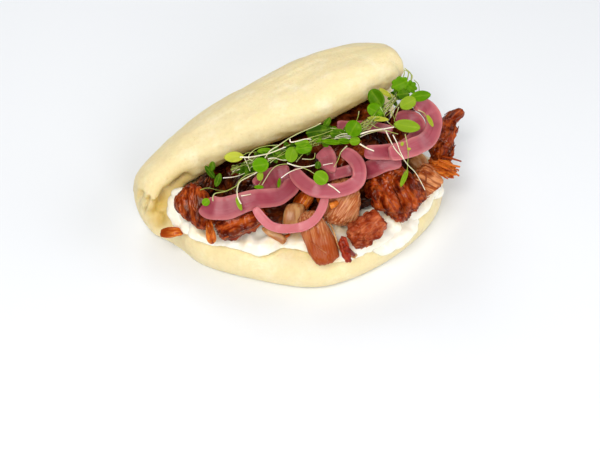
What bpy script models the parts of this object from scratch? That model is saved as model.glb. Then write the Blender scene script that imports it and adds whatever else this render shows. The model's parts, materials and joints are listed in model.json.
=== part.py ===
"""A filled folded steamed bun: one sheet of dough folded over, sauce, braised meat, pickled onion and sprouts.

Metres, +Z up. The origin is on the flat underside. +X runs along the fold, from the closed left corner
to the open right end, and the mouth faces -Y.
"""

import math

import bmesh
import bpy
from mathutils import Matrix, Vector, noise
from mathutils.bvhtree import BVHTree

MM = 0.001
GAP = 0.35 * MM  # between pieces that touch
HIGH = 200 * MM  # above everything, for rays that look down

# The dough sheet
DOUGH = 15 * MM
DOUGH_R = DOUGH / 2
FLOOR_Z = DOUGH_R - 1.2 * MM  # the underside sinks flat on the table
FOLD_R_LEFT = 7.9 * MM
FOLD_R_RIGHT = 21 * MM
FRONT_REACH = 56 * MM
LID_REACH = 20 * MM
LID_DROOP = 17.0  # radians a metre
LID_SLOPE = math.radians(16)
HALF_LENGTH = {"floor": (49 * MM, 57 * MM), "fold": (60 * MM, 48 * MM), "lid": (56 * MM, 42 * MM)}

# Fillings
SAUCE_THICK = 4.0 * MM
ONION_THICK = 1.9 * MM
STEM_R = 0.5 * MM
LEAF_THICK = 0.7 * MM
OUTWARD = Vector((-0.23, -0.63, 0.74)).normalized()  # out of the mouth, up off the slope of the heap

COLOURS = {
    "dough": ((0.86, 0.72, 0.44, 1), 0.55),
    "sauce": ((0.92, 0.87, 0.72, 1), 0.3),
    "meat": ((0.22, 0.06, 0.025, 1), 0.4),
    "fat": ((0.55, 0.32, 0.14, 1), 0.4),
    "onion": ((0.52, 0.09, 0.2, 1), 0.3),
    "sprout": ((0.16, 0.42, 0.03, 1), 0.4),
}


def clear_scene():
    for obj in list(bpy.data.objects):
        bpy.data.objects.remove(obj, do_unlink=True)


def make_material(name):
    colour, roughness = COLOURS[name]
    material = bpy.data.materials.new(name)
    material.use_nodes = True
    shader = material.node_tree.nodes["Principled BSDF"]
    shader.inputs["Base Color"].default_value = colour
    shader.inputs["Roughness"].default_value = roughness
    shader.inputs["Metallic"].default_value = 0
    return material


def inside(tree, point):
    """True if the point is within the closed surface: a ray from it leaves through an odd number of faces."""
    crossings, start = 0, point
    for _ in range(40):
        hit = tree.ray_cast(start, OUTWARD)
        if hit[0] is None:
            break
        crossings += 1
        start = hit[0] + OUTWARD * 1e-6
    return crossings % 2 == 1


def face_outward(bm):
    bmesh.ops.recalc_face_normals(bm, faces=bm.faces)
    if bm.calc_volume(signed=True) < 0:
        bmesh.ops.reverse_faces(bm, faces=bm.faces)


class Assembly:
    """The pieces placed so far, with a search tree each, in world space."""

    def __init__(self):
        self.collection = bpy.data.collections.new("bao_bun")
        bpy.context.scene.collection.children.link(self.collection)
        self.materials = {name: make_material(name) for name in COLOURS}
        self.trees = {}

    def add(self, name, bm, material, place=None):
        """Makes the object from a bmesh, at the matrix place, and remembers its surface."""
        place = place or Matrix.Identity(4)
        mesh = bpy.data.meshes.new(name)
        face_outward(bm)
        bm.to_mesh(mesh)
        mesh.materials.append(self.materials[material])
        mesh.shade_smooth()
        obj = bpy.data.objects.new(name, mesh)
        obj.matrix_world = place
        self.collection.objects.link(obj)
        bm.transform(place)
        self.trees[name] = BVHTree.FromBMesh(bm)
        bm.free()
        return obj

    def touches(self, bm, place):
        """True if the bmesh at that matrix crosses a placed piece, or lies inside one."""
        trial = bm.copy()
        trial.transform(place)
        tree = BVHTree.FromBMesh(trial)
        corner = next(iter(trial.verts)).co.copy()
        trial.free()
        return any(tree.overlap(other) or inside(other, corner) for other in self.trees.values())

    def nearest(self, point):
        """The gap to the nearest piece, less than 0 inside one, and the way out of it."""
        gap, away = HIGH, OUTWARD
        for tree in self.trees.values():
            found, normal, _, distance = tree.find_nearest(point)
            signed = -distance if inside(tree, point) else distance
            if signed < gap:
                gap = signed
                away = normal if distance < 1e-7 else (point - found) / signed
        return gap, away

    def eased(self, point, room):
        """The point, moved the short way until it has room round it."""
        for _ in range(12):
            gap, away = self.nearest(point)
            if gap >= room:
                break
            point = point + (away + 0.35 * OUTWARD).normalized() * (room - gap + 0.05 * MM)
        return point

    def outermost(self, point, reach=40 * MM, skip=("bun",)):
        """How far outward of the point the filling's surface is, looking in from reach away. None if it isn't met."""
        start = point + OUTWARD * reach
        hits = [tree.ray_cast(start, -OUTWARD, 2 * reach) for name, tree in self.trees.items() if name not in skip]
        return max((reach - hit[3] for hit in hits if hit[0] is not None), default=None)

    def top(self, x, y, below=HIGH, skip=()):
        """The height of the highest surface under the point (x, y, below)."""
        down = Vector((0, 0, -1))
        hits = [tree.ray_cast(Vector((x, y, below)), down) for name, tree in self.trees.items() if name not in skip]
        return max((hit[0].z for hit in hits if hit[0] is not None), default=0.0)


# Shapes


def rounding(share):
    """The half thickness of a rim that is round in section, at a share of its radius from the edge."""
    return math.sqrt(max(0.0, 1 - (1 - min(share, 1.0)) ** 2))


def smooth(value):
    value = min(max(value, 0.0), 1.0)
    return value * value * (3 - 2 * value)


def ripple(point, scale, seed=0.0):
    """Gentle unevenness, from -1 to 1, that repeats each run."""
    return noise.noise(Vector(point) / scale + Vector((seed, 2 * seed, -seed)))


def spaced(count, ends=1.0):
    """Fractions from 0 to 1, closer together near both ends as ends grows."""
    rows = [k / (count - 1) for k in range(count)]
    return [(1 - ends) * f + ends * (1 - math.cos(math.pi * f)) / 2 for f in rows]


def pillow(columns, rows, place):
    """A closed body made of two grids that meet at their rims.

    place(column, row, side) gives a point, with side 1 on one face and -1 on the other.
    """
    bm = bmesh.new()
    for side in (1, -1):
        grid = bmesh.ops.create_grid(bm, x_segments=len(columns) - 1, y_segments=len(rows) - 1, size=0.5)
        for vert in grid["verts"]:
            column = columns[round((vert.co.x + 0.5) * (len(columns) - 1))]
            row = rows[round((vert.co.y + 0.5) * (len(rows) - 1))]
            vert.co = place(column, row, side)
    bmesh.ops.remove_doubles(bm, verts=bm.verts, dist=0.01 * MM)
    bmesh.ops.triangulate(bm, faces=bm.faces)
    return bm


def sweep(path, ring, closed_ends=True):
    """A tube: ring(k) gives the points round station k, as offsets across and up from the path."""
    bm = bmesh.new()
    loops = []
    for k, point in enumerate(path):
        ahead = path[min(k + 1, len(path) - 1)] - path[max(k - 1, 0)]
        across = ahead.cross(OUTWARD)
        across = across.normalized() if across.length > 1e-9 else Vector((1, 0, 0))
        up = across.cross(ahead).normalized()
        loops.append([bm.verts.new(point + across * a + up * b) for a, b in ring(k)])
    for first, second in zip(loops, loops[1:]):
        for n in range(len(first)):
            after = (n + 1) % len(first)
            bm.faces.new((first[n], first[after], second[after], second[n]))
    if closed_ends:
        bm.faces.new(loops[0][::-1])
        bm.faces.new(loops[-1])
    bmesh.ops.triangulate(bm, faces=bm.faces)
    return bm


def through(points, count):
    """A smooth line of count points through the given ones."""
    line = []
    spans = len(points) - 1
    for k in range(count):
        along = k / (count - 1) * spans
        n = min(int(along), spans - 1)
        f = along - n
        before = points[max(n - 1, 0)]
        after = points[min(n + 2, spans)]
        a, b = points[n], points[n + 1]
        line.append(
            0.5 * (2 * a + (b - before) * f + (2 * before - 5 * a + 4 * b - after) * f**2
                   + (3 * a - before - 3 * b + after) * f**3)
        )
    return line


# The bun


def fold_radius(s):
    return FOLD_R_LEFT + (FOLD_R_RIGHT - FOLD_R_LEFT) * math.sin(math.pi / 4 * (s + 1))


def fold_centre(s):
    """How far back the fold's axis lies at s, which runs from -1 at the left end to 1 at the right."""
    return (12 + 1.8 * s + 12.3 * (1 - abs(s) ** 3)) * MM


def floor_length(s):
    narrower_left = 1 - 0.2 * smooth(-s)
    return 3 * MM + FRONT_REACH * narrower_left * math.sqrt(max(0.0, 1 - s * s))


def lid_length(s):
    share = ((s - 0.16) / 0.87) ** 2.25 if s > 0.16 else ((0.16 - s) / 1.1) ** 1.47
    return 2 * MM + LID_REACH * max(0.0, 1 - share)


def half_dough(s):
    """The dough thins toward the pinched left end."""
    return DOUGH_R * (1 - 0.12 * smooth(-s))


def sheet_point(s, path):
    """The middle of the dough sheet. path runs 0 to 1 over the floor, to 2 round the fold and to 3 on the lid."""
    radius = fold_radius(s)
    slope = LID_SLOPE * smooth((s + 1.1) / 0.8)
    centre_y, centre_z = fold_centre(s), FLOOR_Z + radius
    if path <= 1:
        y, z = centre_y - floor_length(s) * (1 - path), FLOOR_Z
    elif path <= 2:
        angle = -math.pi / 2 + (math.pi - slope) * (path - 1)
        y, z = centre_y + radius * math.cos(angle), centre_z + radius * math.sin(angle)
    else:
        here = slope - LID_DROOP * lid_length(s) * (path - 2)
        y = centre_y + radius * math.sin(slope) - (math.sin(slope) - math.sin(here)) / LID_DROOP
        z = centre_z + radius * math.cos(slope) + (math.cos(here) - math.cos(slope)) / LID_DROOP
    floor_end, fold_end, lid_end = (HALF_LENGTH[part][s > 0] for part in ("floor", "fold", "lid"))
    if path <= 1.5:
        half = floor_end + (fold_end - floor_end) * smooth(path / 1.5)
    else:
        half = fold_end + (lid_end - fold_end) * smooth(path - 1.5)
    return Vector((s * half, y, z))


def bun_point(s, path, side):
    step = 0.004
    s_in = min(max(s, -1 + step), 1 - step)
    path_in = min(max(path, step), 3 - step)
    along = sheet_point(s_in + step, path_in) - sheet_point(s_in - step, path_in)
    round_fold = sheet_point(s_in, path_in + step) - sheet_point(s_in, path_in - step)
    outward = round_fold.cross(along).normalized()
    full = half_dough(s)
    to_front = floor_length(s) * min(path, 1) + fold_radius(s) * math.pi * max(path - 1, 0)
    to_lip = lid_length(s) * (3 - max(path, 2)) + fold_radius(s) * math.pi * (2 - min(path, 2))
    to_end = (1 - abs(s)) * HALF_LENGTH["floor"][1]
    half = full * rounding(to_front / full) * rounding(to_lip / full) * rounding(to_end / full)
    middle = sheet_point(s, path)
    uneven = 0.6 * ripple(middle, 24 * MM) + 0.25 * ripple(middle, 9 * MM, 3.0)
    point = middle + outward * side * (half + uneven * MM * half / DOUGH_R)
    point.z = max(point.z, 0.0)
    return point


def make_bun(assembly):
    columns = [math.sin(math.pi / 2 * (2 * k / 25 - 1)) for k in range(26)]
    floor = [0, 0.03, 0.09, 0.18, 0.32, 0.49, 0.66, 0.83]
    fold = [1 + k / 9 for k in range(10)]
    lid = [2.2, 2.4, 2.58, 2.74, 2.87, 2.96, 3.0]
    assembly.add("bun", pillow(columns, floor + fold + lid, bun_point), "dough")


# The sauce


def front_rim(x):
    """The y of the bun's front rim at x."""
    s = min(max(x / HALF_LENGTH["floor"][x > 0], -0.999), 0.999)
    return fold_centre(s) - floor_length(s)


SAUCE_ENDS = (-48 * MM, 51 * MM)
END_TAPER = 9 * MM  # the right ends of the sauce and the bed run in to the fold
# Lobes of the front edge: their middle, half width and how far they pull back from the bun's rim.
SAUCE_INSETS = ((-42, 4, 1.5), (-34, 4, 4.0), (-14, 9, 8.0), (30, 4, 2.0), (50, 7, 1.5))
SAUCE_INSET = 0.9 * MM


def sauce_front(x):
    inset = SAUCE_INSET
    for middle, half_width, depth in SAUCE_INSETS:
        inset += depth * MM * math.exp(-(((x / MM - middle) / half_width) ** 2))
    return front_rim(x) + inset


def make_sauce(assembly):
    bun = assembly.trees["bun"]

    def place(column, row, side):
        x = SAUCE_ENDS[0] + (SAUCE_ENDS[1] - SAUCE_ENDS[0] - END_TAPER * row) * column
        back = fold_centre(x / HALF_LENGTH["floor"][x > 0]) + 3 * MM
        front = min(sauce_front(x), back - 2 * MM)
        y = front + (back - front) * row
        near = [(x + a, y + b) for a in (-1.5 * MM, 0, 1.5 * MM) for b in (-0.7 * MM, 0, 1.5 * MM)]
        hits = [bun.ray_cast(Vector((*spot, DOUGH + 2.5 * MM)), Vector((0, 0, -1))) for spot in near]
        rest = max((hit[0].z for hit in hits if hit[0]), default=FLOOR_Z) + GAP
        edge = min(column, 1 - column) * (SAUCE_ENDS[1] - SAUCE_ENDS[0]) / (0.8 * SAUCE_THICK)
        full = rounding(row * (back - front) / (0.8 * SAUCE_THICK)) * rounding(edge)
        full *= rounding((1 - row) * (back - front) / (0.8 * SAUCE_THICK))
        thick = full * SAUCE_THICK * (1 + 0.3 * ripple((x, y, 0), 11 * MM, 5.0) + 0.5 * smooth((-38 * MM - x) / (8 * MM)))
        return Vector((x, y, rest + 0.25 * MM * (1 - full) + (thick if side > 0 else 0)))

    assembly.add("sauce", pillow(spaced(24, 0.45), spaced(9, 0.75), place), "sauce")


# The chunks that show


def chunk_shape(length, width, thick, bend, cuts, seed):
    """A torn block of meat with its fibres along X, bent down by bend over its length."""
    bm = bmesh.new()
    bmesh.ops.create_cube(bm, size=2)
    bmesh.ops.subdivide_edges(bm, edges=bm.edges, cuts=cuts, use_grid_fill=True)
    half = Vector((length, width, thick)) / 2
    for vert in bm.verts:
        p = vert.co.copy()
        power = 5.0
        size = sum(abs(c) ** power for c in p) ** (1 / power)
        p = p / size
        strand = ripple((0.4 * p.x, 1.6 * p.y, 1.6 * p.z), 1.0, seed)
        tear = ripple((2.2 * p.y, 2.2 * p.z, p.x), 1.0, seed + 4)
        p.x *= 1 + 0.22 * tear
        p.y *= (1 + 0.22 * strand) * (1 - 0.14 * p.x * math.sin(seed * 5))
        p.z *= 1 + 0.3 * strand
        point = Vector((p.x * half.x, p.y * half.y, p.z * half.z))
        point.z -= bend * (p.x * p.x - 0.4) * half.x
        vert.co = point
    bmesh.ops.triangulate(bm, faces=bm.faces)
    return bm


def turned(x, y, z, tilt, lean, turn):
    """A matrix: the piece's flat face leans tilt degrees to the front and lean to the right, turned about it."""
    facing = Matrix.Rotation(math.radians(lean), 4, "Y") @ Matrix.Rotation(math.radians(tilt), 4, "X")
    return Matrix.Translation(Vector((x, y, z)) * MM) @ facing @ Matrix.Rotation(math.radians(turn), 4, "Z")


# Outermost first. name: place, tilt, lean and turn, length, width and thickness in mm, bend, cuts and material
CHUNKS = {
    "chunk_front_slab": ((-5.5, -27, 22.5), (42, -15, 92), (20, 10, 5.5), 0.10, 3, "meat"),
    "chunk_crumbly": ((12, -29, 23), (35, -15, 15), (14, 10, 7), 0.05, 3, "meat"),
    "shred_front": ((3, -32, 20), (40, -15, 80), (10, 3.5, 3), 0.1, 2, "meat"),
    "chunk_big": ((27, -19, 26), (42, -12, 115), (19, 17, 9), 0.14, 4, "meat"),
    "chunk_curled": ((40, -16, 25), (40, 0, 35), (12, 10, 6), 0.3, 3, "meat"),
    "chunk_left": ((-42, -2, 26), (42, -20, 108), (17, 11.5, 7), 0.12, 3, "meat"),
    "chunk_low_left": ((-30.5, -12, 25), (25, -15, 5), (18, 10, 8), 0.12, 3, "meat"),
    "chunk_left_shred": ((-38, -11.5, 21), (42, -15, 75), (8, 2.8, 2.4), 0.1, 2, "meat"),
    "flake_left": ((-52.3, 0.4, 14), (14, -16, -24), (9, 4, 1.8), 0.15, 2, "meat"),
    "fat_strip": ((-20, -18, 20), (35, -15, 125), (10, 3, 2.2), 0.2, 2, "fat"),
    "chunk_slab": ((7, -19, 28.5), (45, -12, 62), (17, 12.5, 5), 0.12, 3, "meat"),
    "fat_middle": ((-10, -14.5, 22.2), (35, -15, 60), (10.5, 8.5, 4.5), 0.15, 2, "fat"),
    "chunk_small_upper": ((-5.5, -12.3, 27.5), (35, -15, 30), (8, 6, 4.5), 0.1, 2, "meat"),
    "chunk_small_right": ((1.5, -13.5, 26.5), (35, -15, 110), (7, 5.5, 4), 0.1, 2, "meat"),
    "chunk_shreds": ((51, -8, 20), (30, 10, 160), (12, 6, 3.5), 0.2, 2, "meat"),
    "fat_right": ((43, -10, 27), (35, 0, 110), (9, 6, 4), 0.1, 2, "fat"),
    "chunk_end": ((54, -1.5, 23), (30, 0, 70), (19, 10, 7), 0.1, 3, "meat"),
    "chunk_end_stick": ((61, 10.5, 25), (20, -3, 22), (18, 5, 4.5), 0.0, 2, "meat"),
    "chunk_back_left": ((-24, -3, 30), (35, -15, 20), (13, 8, 6), 0.1, 3, "meat"),
    "chunk_back_middle": ((14, -3, 35), (35, -15, 10), (15, 9, 6), 0.1, 3, "meat"),
    "chunk_back_right": ((40, 6, 33), (35, 0, 60), (15, 10, 7), 0.1, 3, "meat"),
    "chunk_lid_left": ((-38, 6, 26), (30, -20, 20), (11, 7, 5), 0.1, 2, "meat"),
}
SETTLE_STEP = 0.4 * MM
BED_UNDER = 1.3 * MM  # room for the meat bed under a piece
MOST_STEPS = 50
ACROSS = OUTWARD.cross(Vector((0, 0, 1))).normalized()
ALONG = ACROSS.cross(OUTWARD)
# Ways aside that a piece may slip, in mm across and along the heap's slope, nearest first
ASIDE = ((0, 0), (1, 0), (-1, 0), (0, 1), (0, -1), (2, 0), (-2, 0), (0, 2), (0, -2), (2, 2), (-2, 2), (2, -2), (-2, -2),
         (3.5, 0), (-3.5, 0), (0, 3.5), (0, -3.5))


def settle(assembly, bm, place, ways=(1,), aside=ASIDE[:1], under=GAP):
    """Shifts the piece out of the heap, or into it where ways holds -1, by the least that leaves it room.

    It has under free on the heap's side and GAP on the other.
    """

    def clear(shift):
        return not any(assembly.touches(bm, Matrix.Translation(shift + OUTWARD * spare) @ place)
                       for spare in (0, -under, GAP))

    shifts = [(n * SETTLE_STEP + 1.5 * MM * math.hypot(*slip), (ACROSS * slip[0] + ALONG * slip[1]) * MM
               + OUTWARD * way * n * SETTLE_STEP) for n in range(MOST_STEPS) for way in ways for slip in aside]
    for _, shift in sorted(shifts, key=lambda pair: pair[0]):
        if clear(shift):
            return Matrix.Translation(shift) @ place
    raise ValueError("a piece finds no room")


def make_chunks(assembly):
    for seed, (name, (at, turns, size, bend, cuts, material)) in enumerate(CHUNKS.items()):
        bm = chunk_shape(*(length * MM for length in size), bend, cuts, 1.37 * seed + 0.5)
        assembly.add(name, bm, material, settle(assembly, bm, turned(*at, *turns), (-1, 1), ASIDE, BED_UNDER))


BED_ENDS = (-37 * MM, 46 * MM)
BED_INSET = 14 * MM  # behind the bun's front rim
BED_HIGH = (12 * MM, 21 * MM)  # over the sauce, at the left end and at the right
BED_ROOM = 1.2 * MM  # under the pieces and the lid
BED_THINNEST = 0.25 * MM


def make_bed(assembly):
    """The braised meat that runs through the bun and fills the room under the pieces that show."""
    floor = {name: tree for name, tree in assembly.trees.items() if name in ("bun", "sauce")}
    pieces = [name for name in assembly.trees if name not in floor]
    up = Vector((0, 0, 1))

    def place(column, row, side, spare):
        x = BED_ENDS[0] + (BED_ENDS[1] - BED_ENDS[0] - END_TAPER * row) * column
        s = x / HALF_LENGTH["floor"][x > 0]
        back = fold_centre(s) + 0.6 * (fold_radius(s) - DOUGH_R)
        front = min(front_rim(x) + BED_INSET, back - 3 * MM)
        y = front + (back - front) * row
        near = [(x + 1.6 * MM * a, y + 1.4 * MM * b) for a in range(-2, 3) for b in range(-2, 3)]
        lows = [assembly.top(*spot, below=DOUGH + SAUCE_THICK + 2 * MM, skip=pieces) + 2 * GAP for spot in near]
        hits = [tree.ray_cast(Vector((*spot, low)), up)[0]
                for tree in assembly.trees.values() for spot, low in zip(near, lows)]
        lid = min((hit.z for hit in hits if hit), default=HIGH) - BED_ROOM - spare
        rest = max(min(max(lows), lid), lows[len(lows) // 2])
        room = max(lid - rest, 0)
        high = BED_HIGH[0] + (BED_HIGH[1] - BED_HIGH[0]) * smooth(0.5 + s)
        heap = high * (0.2 + 0.8 * smooth((y - front) / (30 * MM))) * (1 + 0.2 * ripple((x, y, 0), 7 * MM, 8.0))
        end = min(column, 1 - column) * (BED_ENDS[1] - BED_ENDS[0])
        heap += 6 * MM * smooth((y - back + 16 * MM) / (10 * MM))
        heap = max(min(heap * rounding(end / (9 * MM)), room), BED_THINNEST)
        heap *= rounding(row * (back - front) / (3 * MM)) * rounding((1 - row) * (back - front) / (4 * MM))
        heap *= rounding(end / (3 * MM))
        return Vector((x, y, rest + heap if side > 0 else rest))

    for n in range(8):
        bm = pillow(spaced(26, 0.3), spaced(13, 0.3), lambda *where: place(*where, n * GAP))
        if not assembly.touches(bm, Matrix.Identity(4)):
            break
    assembly.add("meat_bed", bm, "meat")


# The onion rings: the line along the middle of each strip and its width, in mm
ONIONS = {
    "onion_under": (((14, -10, 33), (18, -12, 34), (25, -11, 34), (31, -12, 35)), 6.0),
    "onion_inner_wall": (((4, -9, 33), (9, -9, 33), (15, -9, 33)), 4.0),
    "onion_left_back": (((-21, -7, 33), (-15, -5, 35), (-9, -7, 36)), 7.5),
    "onion_left": (((-39, -2, 27), (-37, -4, 26), (-32, -6, 26), (-26, -7, 28), (-20, -9, 30), (-15, -11, 31),
                    (-10, -10, 33), (-8, -8, 35)), 7.2),
    "onion_ring_thin": (((-23, -10, 27), (-22, -14, 26), (-20, -18, 25), (-16, -21, 25), (-10, -23, 26),
                         (-5, -22, 27), (-1, -19, 29), (1, -16, 31)), 3.2),
    "onion_ring_middle": (((-7, -5, 36), (-6, -9, 35), (-3, -14, 34), (2, -16, 33), (8, -17, 33), (13, -16, 34),
                           (15, -13, 36), (15, -8, 37), (12, -4, 38)), 5.2),
    "onion_short": (((4, -4, 42), (5, -7, 41), (4, -10, 40), (3, -11, 39)), 6.5),
    "onion_right_inner": (((35, 2, 42), (40, 1, 42), (42, -2, 41), (40, -6, 40), (36, -9, 39), (30, -10, 38),
                           (24, -9, 38), (19, -7, 38)), 5.6),
    "onion_right_outer": (((44, 7, 41), (48, 7, 40), (50, 2, 39), (48, -3, 38), (44, -7, 37), (39, -9, 37),
                           (33, -10, 37), (27, -10, 37)), 6.4),
    "onion_lid": (((14, 7, 41), (19, 5, 41), (25, 2, 42), (32, -3, 42)), 3.6),
}
ONION_STATIONS = 12


def make_onions(assembly):
    """Each strip is laid on the heap along its line, bridging the hollows."""
    for name, (line, width) in ONIONS.items():
        path = through([Vector(point) * MM for point in line], ONION_STATIONS)
        half_width, half_thick = width * MM / 2, ONION_THICK / 2
        lifts = []
        for k, point in enumerate(path):
            ahead = path[min(k + 1, ONION_STATIONS - 1)] - path[max(k - 1, 0)]
            across = ahead.cross(OUTWARD).normalized() * half_width
            found = [assembly.outermost(point + across * f) for f in (-1, -0.5, 0, 0.5, 1)]
            lifts.append(max((lift for lift in found if lift is not None), default=-4 * MM))
        for k, point in enumerate(path):
            near = lifts[max(k - 2, 0):k + 3]
            lift = 0.6 * max(lifts[max(k - 1, 0):k + 2]) + 0.4 * sum(near) / len(near)
            path[k] = point + OUTWARD * (max(lift, -6 * MM) + half_thick + GAP)

        def ring(k):
            taper = 0.4 + 0.6 * rounding(min(k, ONION_STATIONS - 1 - k) / 2)
            angles = [math.pi / 3 * n for n in range(6)]
            return [(half_width * taper * math.cos(a), half_thick * taper * 1.15 * math.sin(a)) for a in angles]

        bm = sweep(path, ring)
        assembly.add(name, bm, "onion", settle(assembly, bm, Matrix.Identity(4)))


# The sprouts, in mm: the tangle's line, stems that leave it, and leaves with their half length and half width

TANGLE = ((-34, 4, 32), (-27, 1, 37), (-18, 0, 39), (-8, 0, 41), (2, 0, 42), (12, 0, 43), (21, 0, 43), (29, 3, 44),
          (35, 8, 45), (40, 13, 45))
TANGLE_R = 2.6 * MM
STEMS = (
    ((28, -5, 44), (30, -11, 41), (33, -19, 37), (37, -23, 29)),
    ((29, -6, 45), (31, -13, 41), (33, -17, 38)),
    ((35, -7, 43), (34, -13, 41), (33, -16, 37)),
    ((12, -4, 45), (21, -5, 45), (31, -4, 45)),
    ((-24, 0, 42), (-15, -1, 43), (-5, 0, 45), (5, 1, 47)),
    ((-23, 0, 43), (-14, 1, 45), (-8, 0, 45)),
    ((-35, 0, 30), (-29, -2, 33), (-24, -2, 36), (-20, -3, 39)),
    ((-28, -7, 31), (-28, -5, 34), (-25, -4, 37), (-21, -4, 40)),
    ((-13, -8, 38), (-6, -8, 41), (1, -9, 42), (6, -10, 42)),
    ((-18, -6, 38), (-13, -4, 42), (-9, -7, 43), (-2, -11, 40)),
    ((17, -7, 45), (22, -9, 42)),
    ((6, -12, 41), (11, -7, 43), (14, -5, 45)),
)
LEAVES = (
    ((-27, 1, 43), (3.4, 2.4)), ((-18, -3, 42), (3.4, 3.0)), ((-20, -6, 39), (1.6, 1.3)), ((0, -14, 39), (3.0, 2.9)),
    ((17, -3, 47), (3.4, 3.3)), ((16, -6, 45), (2.2, 1.6)), ((37, -4, 46), (4.6, 2.8)), ((31, 9, 47), (3.8, 3.5)),
    ((28, 3, 47), (3.4, 3.0)), ((41, 5, 47), (3.8, 2.7)), ((48, 8, 45), (3.4, 2.4)), ((41, 14, 48), (3.4, 3.0)),
    ((44, 11, 47), (3.2, 2.8)), ((38, 9, 48), (3.0, 2.6)), ((-34, 5, 36), (3.0, 2.2)), ((-39, -3, 30), (1.8, 1.4)),
    ((-3, -3, 46), (3.4, 2.4)), ((5, 1, 47), (3.4, 2.4)), ((-7, -2, 44), (2.6, 2.4)), ((-15, 1, 43), (3.0, 1.6)),
    ((-29, -9, 32), (2.6, 1.2)), ((31, -17, 36), (3.0, 1.4)), ((11, -3, 45), (4.0, 1.6)), ((2, -8, 41), (2.0, 1.6)),
    ((24, 0, 46), (3.6, 1.4)),
)


def leaf_shape(place, half_length, half_width):
    """A thin cupped leaf, eight-sided, with its long axis along X."""
    bm = bmesh.new()
    rims = []
    for side in (1, -1):
        rim = []
        for n in range(8):
            a = math.pi / 4 * n
            point = Vector((half_length * math.cos(a), half_width * math.sin(a), 0.14 * half_width))
            rim.append(bm.verts.new(place @ (point + Vector((0, 0, side * LEAF_THICK / 2)))))
        middle = bm.verts.new(place @ Vector((0, 0, side * LEAF_THICK / 2)))
        for n in range(8):
            bm.faces.new((rim[n], rim[(n + 1) % 8], middle))
        rims.append(rim)
    for n in range(8):
        after = (n + 1) % 8
        bm.faces.new((rims[0][n], rims[1][n], rims[1][after], rims[0][after]))
    bmesh.ops.triangulate(bm, faces=bm.faces)
    return bm


def stem_shape(assembly, line, tangle):
    """A stem along the line and on to the tangle, arched outward by as little as keeps it off the other pieces."""
    ring = [(STEM_R * a, STEM_R * b) for a, b in ((1, 0), (0, 1), (-1, 0), (0, -1))]
    near = sorted(tangle, key=lambda point: min((point - end).length for end in (line[0], line[-1])))
    for arch in range(6):
        for root in near[:8]:
            first = (root - line[0]).length < (root - line[-1]).length
            whole = [root] + line if first else line + [root]
            stations = 2 * len(whole) + 1
            path = [assembly.eased(point + OUTWARD * arch * MM * math.sin(math.pi * k / (stations - 1)),
                                   STEM_R + 2 * GAP) for k, point in enumerate(through(whole, stations))]
            stem = sweep(path, lambda k: ring)
            if not assembly.touches(stem, Matrix.Identity(4)):
                return stem
    raise ValueError(f"a stem finds no room near {line[0] / MM}")


def largest_shell(mesh):
    """Drops loose scraps and fills sealed hollows, which are shells of their own."""
    bm = bmesh.new()
    bm.from_mesh(mesh)
    left, shells = set(bm.faces), []
    while left:
        shell, front = set(), [next(iter(left))]
        while front:
            face = front.pop()
            if face in left:
                left.remove(face)
                shell.add(face)
                front += [other for edge in face.edges for other in edge.link_faces]
        shells.append(shell)
    keep = max(shells, key=len)
    bmesh.ops.delete(bm, geom=[face for shell in shells if shell is not keep for face in shell], context="FACES")
    bm.to_mesh(mesh)
    bm.free()
    return mesh


def make_sprouts(assembly):
    tangle = [assembly.eased(point, TANGLE_R + 2 * GAP) for point in through([Vector(p) * MM for p in TANGLE], 19)]
    tangle = [assembly.eased((a + 2 * b + c) / 4, TANGLE_R + GAP) for a, b, c in
              zip([tangle[0]] + tangle, tangle, tangle[1:] + [tangle[-1]])]

    def ring(k):
        radius = TANGLE_R * (0.85 + 0.3 * math.sin(2.3 * k)) * (0.4 if k in (0, len(tangle) - 1) else 1)
        return [(radius * math.cos(math.pi / 3 * n), radius * math.sin(math.pi / 3 * n)) for n in range(6)]

    core = assembly.add("sprouts", sweep(tangle, ring), "sprout")
    del assembly.trees["sprouts"]
    pieces = bpy.data.collections.new("sprout_pieces")
    bpy.context.scene.collection.children.link(pieces)
    shapes = []
    for line in STEMS:
        shapes.append(stem_shape(assembly, [Vector(point) * MM for point in line], tangle))
    for n, (at, (half_length, half_width)) in enumerate(LEAVES):
        at = assembly.eased(Vector(at) * MM, 1.5 * MM)
        gap, away = assembly.nearest(at)
        lean = Vector((math.sin(2.1 * n), math.cos(1.7 * n), 0)) * 0.25
        facing = (OUTWARD + lean + away * max(0.0, 1 - gap / (5 * MM))).normalized()
        turn = facing.to_track_quat("Z", "X").to_matrix().to_4x4() @ Matrix.Rotation(2.4 * n, 4, "Z")
        leaf = leaf_shape(turn, half_length * MM, half_width * MM)
        place = settle(assembly, leaf, Matrix.Translation(at))
        at = place.translation
        leaf.transform(place)
        shapes.append(leaf)
        shapes.append(stem_shape(assembly, [at], tangle))
    for n, bm in enumerate(shapes):
        mesh = bpy.data.meshes.new(f"sprout_piece_{n}")
        face_outward(bm)
        bm.to_mesh(mesh)
        bm.free()
        pieces.objects.link(bpy.data.objects.new(mesh.name, mesh))
    union = core.modifiers.new("union", "BOOLEAN")
    union.operation = "UNION"
    union.operand_type = "COLLECTION"
    union.collection = pieces
    union.solver = "MANIFOLD"
    bpy.context.view_layer.update()
    joined = bpy.data.meshes.new_from_object(core.evaluated_get(bpy.context.evaluated_depsgraph_get()))
    core.modifiers.clear()
    core.data = largest_shell(joined)
    for obj in list(pieces.objects):
        bpy.data.objects.remove(obj, do_unlink=True)
    bpy.data.collections.remove(pieces)


def main():
    clear_scene()
    assembly = Assembly()
    make_bun(assembly)
    make_sauce(assembly)
    make_chunks(assembly)
    make_bed(assembly)
    make_onions(assembly)
    make_sprouts(assembly)


main()
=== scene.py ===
"""Dresses a folded steamed bun, filled with braised meat, pickled onion and sprouts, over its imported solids."""

from __future__ import annotations

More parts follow.
